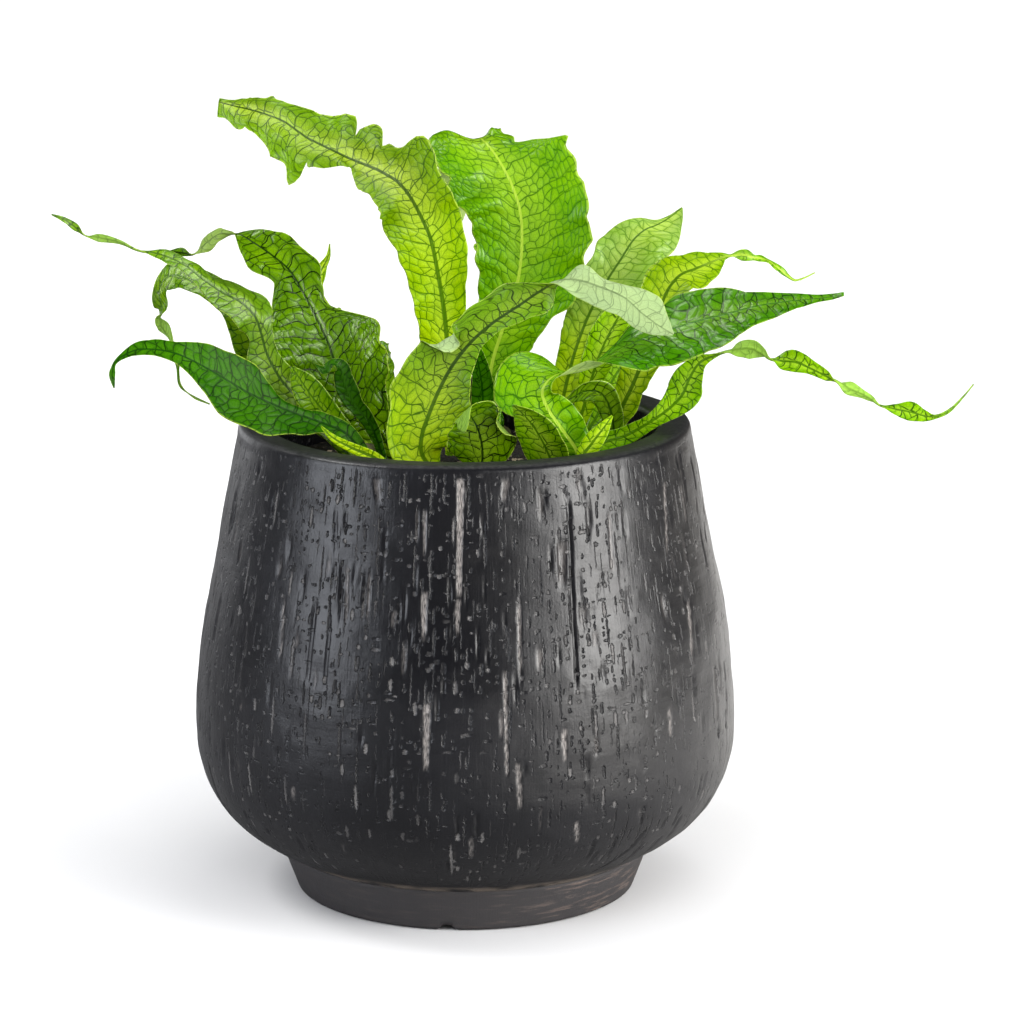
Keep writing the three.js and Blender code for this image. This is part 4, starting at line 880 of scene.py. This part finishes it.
def revolved(name, ring, around, shaped):
    """A turned solid, closed on its axis at both ends of ring, a list of radius and height that runs
    outwards below, up, and inwards above. shaped gives how far each point moves outwards, from its angle
    and height, and marks for it. The map has mm round at WALL_RADIUS and mm along the ring."""
    ring = np.array(ring, float)
    count, sides = len(ring), len(around)
    run = run_along(ring)
    slope = unit(np.gradient(ring, axis=0))
    angle = np.tile(around, (count, 1))
    radius, height = np.repeat(ring[:, :1], sides, 1), np.repeat(ring[:, 1:], sides, 1)
    move, marks = shaped(angle, radius, height, np.repeat(run[:, None], sides, 1))
    radius, height = radius + move * slope[:, 1:], height - move * slope[:, :1]
    points = np.stack([radius * np.sin(angle), -radius * np.cos(angle), height], -1).reshape(-1, 3)
    points = np.concatenate([points, [[0, 0, ring[0, 1]], [0, 0, height[-1].mean()]]])
    marks = np.concatenate([marks.reshape(-1, 3), np.zeros((2, 3))])

    closed = np.append(around, around[0] + 2 * np.pi) * WALL_RADIUS
    i, j = np.repeat(np.arange(count - 1), sides), np.tile(np.arange(sides), count - 1)
    row = j[:sides]
    first, last = i[:sides], i[-sides:] + 1
    corners = [
        ((i, j), (i, j + 1), (i + 1, j + 1), (i + 1, j)),
        ((first, row + 1), (first, row), (first, row)),
        ((last, row), (last, row + 1), (last, row)),
    ]

    def mapped(part):
        return np.stack([np.stack([closed[k], run[at]], -1) for at, k in part], 1).reshape(-1, 2)

    uvs = ("wall", np.concatenate([mapped(part) for part in corners]))
    return mesh_object(name, points, tube_faces(count, sides), uvs, ("marks", marks))


OUTER_RUN = [0, 0]


def gouged(angle, radius, height, run):
    """The planter's wall: a little uneven, with gouges. Marks are their paleness and the height."""
    degrees = np.degrees(angle)
    move = 0.35 * drift(degrees, height, 11, 70) + 0.12 * drift(degrees * 2.3, height, 12, 16)
    depth, pale = np.zeros_like(move), np.zeros_like(move)
    draws = np.random.default_rng(14)
    gouges = list(GOUGES)
    for _ in range(420):
        where, top = draws.uniform(-180, 180), draws.uniform(45, 242)
        long = draws.uniform(6, 26) if abs(where) > 62 else draws.uniform(2.5, 13)
        wide, deep, light = draws.uniform(0.8, 1.5), draws.uniform(0.4, 0.9), draws.uniform(-2, 0.5)
        gouges.append((where, where, top, top - long, wide, deep, max(light, 0)))
    for first, second, top, bottom, wide, deep, light in gouges:
        share = (top - height) / (top - bottom)
        centre = first + (second - first) * share
        off = (degrees - centre) * np.pi / 180 * radius + 0.2 * np.sin(height * 0.9 + first)
        if abs(first) > 175:
            off = (off + 3 * WALL_RADIUS) % (2 * np.pi * radius) - 3 * WALL_RADIUS
        taper = 1 - 0.35 * np.clip(share, 0, 1)
        mask = smoothstep(np.abs(off) / (wide * taper), 1.15, 0.55)
        mask = mask * smoothstep(height, bottom - 0.8, bottom + 1) * smoothstep(height, top + 0.8, top - 1)
        depth = np.maximum(depth, mask * deep)
        pale = np.maximum(pale, mask * light)
    outer = (run > OUTER_RUN[0]) & (run < OUTER_RUN[1])
    fade = smoothstep(height, 23, 36) * smoothstep(height, 243, 236)
    move = np.where(outer, move * fade - depth * smoothstep(height, 24, 31), 0)
    return move, np.stack([np.where(outer, pale, 0), height / POT_HEIGHT, np.zeros_like(height)], -1)


def planter():
    belly = spline(BELLY, 112)
    ring = np.array([*FOOT, *belly, *spline(RIM, 17)[1:], *INNER_WALL])
    run = run_along(ring)
    OUTER_RUN[:] = run[len(FOOT)] - 1, run[len(FOOT) + len(belly)]
    even = np.linspace(-np.pi, np.pi, POT_SIDES, endpoint=False)
    made = revolved("planter_body", ring, even - FRONT_SHARE * np.sin(even), gouged)
    cutters = []
    for i in range(3):
        angle = math.radians(FRONT_GROOVE + 120 * i)
        x, y = math.sin(angle), -math.cos(angle)
        drain, end = (x * DRAIN_CIRCLE, y * DRAIN_CIRCLE), (x * GROOVE_END, y * GROOVE_END)
        cutters.append(rod(f"drain_{i}", (*drain, -2), (*drain, 15), DRAIN_RADIUS))
        cutters.append(rod(f"groove_{i}", (*drain, GROOVE_RISE), (*end, GROOVE_RISE), GROOVE_RADIUS))
    for cutter in cutters:
        carve = made.modifiers.new(cutter.name, "BOOLEAN")
        carve.operation, carve.solver, carve.object = "DIFFERENCE", "MANIFOLD", cutter
    bpy.context.view_layer.update()
    carved = bpy.data.meshes.new_from_object(made.evaluated_get(bpy.context.evaluated_depsgraph_get()))
    made.modifiers.clear()
    made.data = carved
    carved.name = "planter_body"
    for cutter in cutters:
        bpy.data.objects.remove(cutter)
    made.data.materials.clear()
    made.data.materials.append(glaze())
    return made


def rod(name, start, end, radius, sides=32):
    """A closed cylinder between two points."""
    start, end = np.array(start, float), np.array(end, float)
    axis = unit(end - start)
    side = unit(np.cross(axis, (0.3, 0.5, 0.8)))
    other = np.cross(axis, side)
    turn = np.linspace(0, 2 * np.pi, sides, endpoint=False)[:, None]
    circle = radius * (np.cos(turn) * side + np.sin(turn) * other)
    points = np.concatenate([start + circle, end + circle, [start], [end]])
    return mesh_object(name, points, tube_faces(2, sides))


def grooves(nodes, wall, cell, width, length, share, shift):
    """A groove or pit in some of a grid's cells: how much a place is in one, and a random share for it."""
    scaled = wall * (1 / cell[0], 1 / cell[1], 0) + (shift, shift * 1.7, 0)
    cells = nodes.voronoi(scaled, feature="F1", distance="CHEBYCHEV")
    x, y, _ = nodes.parts(abs(scaled - cells["Position"]))
    chance, wide, long = nodes.parts(cells["Color"])
    out = x / (wide * (width[1] / cell[0]) + width[0] / cell[0])
    along = y / (long * (length[1] / cell[1]) + length[0] / cell[1])
    inside = nodes.most(1 - (out**1.6 + along**4), 0)
    return inside * nodes.step(chance, share + 0.01, share), wide


# The grooves and pits of the glaze: the grid's cell across and along, half widths and half lengths as a
# least and a range (all in mm), the share of the cells that have one, a shift, the depth in mm and how
# pale the bottoms are. The pale bottoms are partly worn glaze and partly painted glints, which stand in
# for the specular specks of the pits.
SCRATCHES = [
    ((4, 4.6), (0.5, 0.8), (0.5, 1.1), 0.34, 3.1, 0.6, 0.3),
    ((6, 11), (0.55, 0.8), (1.4, 3), 0.4, 7.7, 0.8, 0.4),
    ((9, 34), (0.55, 0.5), (5, 9), 0.44, 12.9, 0.8, 0.4),
    ((3.3, 17), (0.25, 0.2), (2, 5), 0.3, 23.3, 0.25, 0.15),
    ((9, 8), (1.2, 1.6), (0.6, 0.6), 0.2, 31.9, 0.6, 0.2),
]


def glaze():
    nodes = Paint("planter_glaze_scratched", rgb(26, 26, 29))
    wall = nodes.get("ShaderNodeUVMap", uv_map="wall")
    pale, high, _ = nodes.parts(nodes.stored("marks"))
    position = nodes.position()
    wavy = wall + (nodes.noise(wall, 0.45, 3, 0.7) - 0.5) * 2.4

    depths, lights = [], []
    for cell, width, length, share, shift, depth, light in SCRATCHES:
        inside, random = grooves(nodes, wavy, cell, width, length, share, shift)
        depths.append(inside * depth)
        lights.append(nodes.step(inside, 0.35, 0.8) * nodes.step(random, 0.7, 0.95) * light)
    scratched = nodes.step(high, 0.1, 0.17) * nodes.step(high, 0.99, 0.975)
    patchy = nodes.step(nodes.noise(wall * (0.022, 0.012, 0), 1, 3), 0.38, 0.6)
    here = scratched * (patchy * 0.7 + 0.3)
    depth, light = nodes.most(*depths) * here, nodes.most(*lights) * here

    brushed = nodes.noise(wall * (0.9, 0.035, 0), 1, 5, 0.65)
    rings = nodes.noise(wall * (0.012, 0.42, 0), 1)
    cloud = nodes.step(nodes.noise(position, 14, 4, 0.6), 0.3, 0.75)
    colour = nodes.mix(cloud, rgb(8, 8, 11), rgb(18, 18, 21))
    colour = nodes.mix(nodes.step(brushed, 0.52, 0.8) * 0.22, colour, rgb(42, 42, 44))
    lower = nodes.step(high, 0.3, 0.1)
    colour = nodes.mix(lower * 0.5, colour, rgb(36, 35, 35))
    # The pale bottoms of the pits: partly glaze worn to the clay, partly painted highlights that stand in for
    # specular specks.
    worn_and_glint = nodes.mix(nodes.noise(wall, 1.4), rgb(84, 83, 84), rgb(150, 146, 143))
    colour = nodes.mix(light, colour, worn_and_glint)
    streaks = pale * nodes.step(nodes.noise(wall * (2.6, 0.3, 0), 1, 3), 0.3, 0.65)
    colour = nodes.mix(streaks * 0.7, colour, rgb(150, 144, 140))
    foot = nodes.step(high, 0.0965, 0.092)
    right = nodes.step(nodes.parts(position)[0], -0.01, 0.08)
    stroke = nodes.step(nodes.noise(wall * (0.03, 0.35, 0), 1, 5, 0.7), 0.5, 0.66)
    footing = nodes.mix(stroke * (right * 0.75 + 0.1), rgb(48, 46, 47), rgb(92, 80, 74))
    colour = nodes.mix(foot, colour, footing)
    crease = nodes.step(high, 0.092, 0.0985) * nodes.step(high, 0.122, 0.102)
    crease = crease * nodes.step(nodes.noise(wall, 0.06, 3), 0.32, 0.58)
    colour = nodes.mix(crease * 0.6, colour, rgb(122, 110, 98))
    rim = nodes.step(high, 0.993, 0.997)
    grit = nodes.step(nodes.noise(position, 500, 3, 0.7), 0.35, 0.75)
    colour = nodes.mix(rim * grit, colour, rgb(36, 36, 36))

    rough = nodes.noise(position, 30, 3) * 0.14 + 0.24 + rim * 0.25 + light * 0.3
    rough = rough + nodes.most(foot, lower * 0.6) * 0.3
    height = brushed * 0.1 + rings * 0.08 + nodes.noise(position, 800, 3, 0.6) * 0.1
    height = height + nodes.noise(position, 45) - depth
    return nodes.finished({"Base Color": colour, "Roughness": rough, "Specular IOR Level": 0.4}, height)


# Soil and rhizomes

SOIL_EDGE = 103.6
SOIL_RING = [
    (20, 13.4), (69, 13.4), (108.6, 46.4), (126.6, 90.4), (115.6, 165.4), (105, 212), (SOIL_EDGE, 218),
]
RHIZOMES = {
    "rhizome_left": [(-65, -16), (-60, -2), (-55, 20), (-52, 40), (-45, 54)],
    "rhizome_middle": [(-20, -76), (-14, -62), (-2, -30), (8, 2), (12, 34), (16, 58), (18, 78), (20, 88)],
    "rhizome_right": [(59, -78), (58, -70), (56, -52), (60, -22), (70, 6), (71, 24), (64, 40), (54, 52)],
}
SCALE_LENGTH = 4.2
BLUNT_LENGTH = 4.5


def crumbled(angle, radius, height, run):
    """The soil's lumps and crumbs, on its upper side only."""
    x, y = radius * np.sin(angle), -radius * np.cos(angle)
    crumbs = np.random.default_rng(21).uniform(-1, 1, radius.shape)
    move = 1.3 * drift(x, y, 22, 34) + 0.9 * drift(x, y, 23, 9) + 0.7 * crumbs
    move = np.where(height > 217.5, move, 0) * smoothstep(radius, SOIL_EDGE, 96)
    return move, np.zeros((*radius.shape, 3))


def soil():
    radii = np.arange(101, 3, -2.1)
    heights = SOIL_TOP + 3 * (1 - (radii / 104) ** 2)
    even = np.linspace(-np.pi, np.pi, 200, endpoint=False)
    made = revolved("potting_soil", [*SOIL_RING, *np.stack([radii, heights], 1)], even, crumbled)
    made.data.materials.append(soil_material())
    return made


def soil_material():
    nodes = Paint("potting_soil_dark", rgb(40, 30, 22))
    position = nodes.position()
    crumb = nodes.voronoi(position, 420, dimensions="3D")
    fibre = nodes.noise(position, 150, 5, 0.7)
    colour = nodes.mix(nodes.step(fibre, 0.35, 0.7), rgb(9, 7, 6), rgb(26, 20, 15))
    pebbles = nodes.step(nodes.parts(crumb["Color"])[0], 0.93, 0.96)
    colour = nodes.mix(pebbles, colour, rgb(120, 108, 90))
    return nodes.finished({"Base Color": colour, "Roughness": 0.95}, fibre - crumb["Distance"] * 0.6, 0.0015)


def rhizome(name, route, seed):
    """A creeping stem, half sunk in the soil, with overlapping scales and blunt ends."""
    rib = smooth([(x, y, SOIL_TOP + 0.5, 0, 0, 0) for x, y in route])[:, :3]
    distance = run_along(rib)
    length = distance[-1]
    stations = np.linspace(0, length, round(length / 0.9) + 1)
    centre = np.stack([np.interp(stations, distance, rib[:, k]) for k in range(3)], 1)
    along = unit(np.gradient(centre, axis=0))
    side = unit(np.cross(along, (0, 0, 1)))
    above = np.cross(side, along)
    turn, run = np.meshgrid(np.linspace(0, 2 * np.pi, 40, endpoint=False), stations)
    row = np.floor(run / SCALE_LENGTH)
    scale = (run / SCALE_LENGTH - row) * (0.75 + 0.25 * np.cos(6 * turn + (row % 2) * np.pi))
    ends = np.clip(np.minimum(run, length - run) / BLUNT_LENGTH, 0, 1)
    blunt = np.sqrt(np.clip(1 - (1 - ends) ** 2, 0.02, 1))
    radius = 5.0 * blunt * (1 + 0.05 * drift(run, turn * 6, 40 + seed, 12)) + 0.75 * scale * blunt
    points = centre[:, None] + radius[..., None] * (
        np.cos(turn)[..., None] * side[:, None] + np.sin(turn)[..., None] * above[:, None])
    points = np.concatenate([points.reshape(-1, 3), centre[:1], centre[-1:]])
    wall, first, last = tube_faces(*run.shape)
    faces = [wall[:, [0, 3, 2, 1]], first[:, [1, 0, 2]], last[:, [1, 0, 2]]]
    marks = np.zeros_like(points)
    marks[:-2, 0] = scale.ravel()
    return mesh_object(name + "_stem", points, faces, None, ("marks", marks))


def rhizome_material():
    nodes = Paint("rhizome_scaly", rgb(96, 104, 52))
    scale = nodes.parts(nodes.stored("marks"))[0]
    hairs = nodes.noise(nodes.position(), 300, 4, 0.7)
    colour = nodes.mix(nodes.step(hairs, 0.3, 0.7), rgb(38, 44, 18), rgb(74, 76, 36))
    colour = nodes.mix(nodes.step(scale, 0.45, 0.95), colour, rgb(58, 42, 26))
    return nodes.finished({"Base Color": colour, "Roughness": 0.75}, hairs, 0.0006)


# The part, piece by piece


def dress(piece, node):
    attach(piece, "root")
    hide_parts(node)


for number, frond in enumerate(FRONDS, 1):
    dress(leaf(frond, number), "frond_" + frond.name)
dress(planter(), "planter")
dress(soil(), "soil")
scaly = rhizome_material()
for number, (name, route) in enumerate(RHIZOMES.items()):
    stem = rhizome(name, route, number)
    stem.data.materials.append(scaly)
    dress(stem, name)

# Studio, in metres

AIM = Vector((0, 0, 0.2))

# The area lights: degrees from the front to the right, degrees up, distance, width, height, power and
# colour
LAMPS = {
    "key_right": (63, 12, 1.9, 1.0, 1.1, 54, (1.0, 0.985, 0.96)),
    "key_inner": (40, 12, 1.9, 0.6, 1.1, 8, (1.0, 0.99, 0.98)),
    "fill_left": (-62, 12, 1.9, 1.0, 1.1, 24, (0.88, 0.92, 1.0)),
    "back_right": (130, 8, 2.2, 2.2, 1.4, 1.6, (1.0, 0.93, 0.82)),
    "back_left": (-142, 8, 2.2, 1.6, 1.4, 9, (0.97, 0.98, 1.0)),
    "top_back": (160, 66, 2.1, 0.8, 0.8, 7, (1.0, 1.0, 1.0)),
    "high_left": (-86, 50, 1.9, 0.8, 0.6, 21, (1.0, 1.0, 1.0)),
    "front": (-5, 36, 2.5, 1.6, 1.0, 29, (1.0, 1.0, 1.0)),
    "gleam_front": (24, 30, 1.9, 0.3, 0.3, 2.2, (1.0, 1.0, 1.0)),
}


def sheet(name, height, paint, colour):
    """A wide level sheet, height mm up."""
    corners = np.array([(-1, -1, 0), (1, -1, 0), (1, 1, 0), (-1, 1, 0)]) * 60000
    made = mesh_object(name, corners + (0, 0, height), [np.array([[0, 1, 2, 3]])])
    made.data.materials.append(paint.finished({"Base Color": colour, "Roughness": 0.9}))
    return made


def floor():
    paint = Paint("studio_white", rgb(235, 235, 236))
    position = paint.position()
    away = paint.get("ShaderNodeVectorMath", {0: position}, "Value", operation="LENGTH")
    # Painted shade: the floor is painted darker near the planter, which deepens its shadow, and painted
    # lighter far away, up to white, where the lamps light it less.
    near = paint.mix(paint.noise(position, 3), rgb(199, 199, 200), rgb(202, 202, 203))
    made = sheet("studio_floor", -0.3, paint, paint.mix(paint.step(away, 0.3, 2.6), near, rgb(254, 254, 254)))
    made.visible_glossy = False


def reflection_card():
    paint = Paint("studio_grey", rgb(150, 150, 150))
    x = paint.parts(paint.position())[0]
    grey = paint.mix(paint.step(x, -0.02, 0.45), (0.15, 0.15, 0.155, 1), (0.85, 0.83, 0.8, 1))
    grey = paint.mix(paint.step(x, 0.55, 1.3), grey, (0.36, 0.34, 0.31, 1))
    made = sheet("studio_reflection_card", -0.2, paint, grey)
    made.visible_camera = made.visible_diffuse = made.visible_shadow = made.visible_transmission = False


def facing(direction):
    return direction.to_track_quat("-Z", "Y").to_euler()


def softbox(name, turn, rise, distance, width, height, power, colour):
    """An area light that faces the plant."""
    turn, rise = math.radians(turn), math.radians(rise)
    light = bpy.data.lights.new(name, "AREA")
    light.shape, light.size, light.size_y = "RECTANGLE", width, height
    light.energy, light.color = power, colour
    made = linked(name, light)
    away = Vector((math.sin(turn) * math.cos(rise), -math.cos(turn) * math.cos(rise), math.sin(rise)))
    made.location = away * distance + AIM
    made.rotation_euler = facing(AIM - made.location)
    return made


floor()
reflection_card()
lamps = {name: softbox(name, *lamp) for name, lamp in LAMPS.items()}
lamps["front"].visible_glossy = False
lamps["gleam_front"].visible_diffuse = False
light = bpy.data.lights.new("ceiling", "SUN")
light.energy, light.angle = 2.1, math.radians(70)
sun = linked("ceiling", light)
sun.visible_glossy = False
sun.rotation_euler = facing(Vector((-0.72, 0.1, -0.76)))

scene = bpy.context.scene
scene.world = bpy.data.worlds.new("studio")
scene.world.use_nodes = True
background = scene.world.node_tree.nodes["Background"].inputs
background["Color"].default_value = (1.0, 1.0, 1.0, 1.0)
background["Strength"].default_value = 0.6
scene.world.cycles_visibility.glossy = False
scene.view_settings.view_transform = "Standard"

lens = bpy.data.cameras.new("camera")
lens.lens, lens.sensor_width = 150, 36
scene.camera = linked("camera", lens)
scene.camera.location = (0.0244, -2.15, 0.694)
scene.camera.rotation_euler = (math.radians(77), 0, 0)
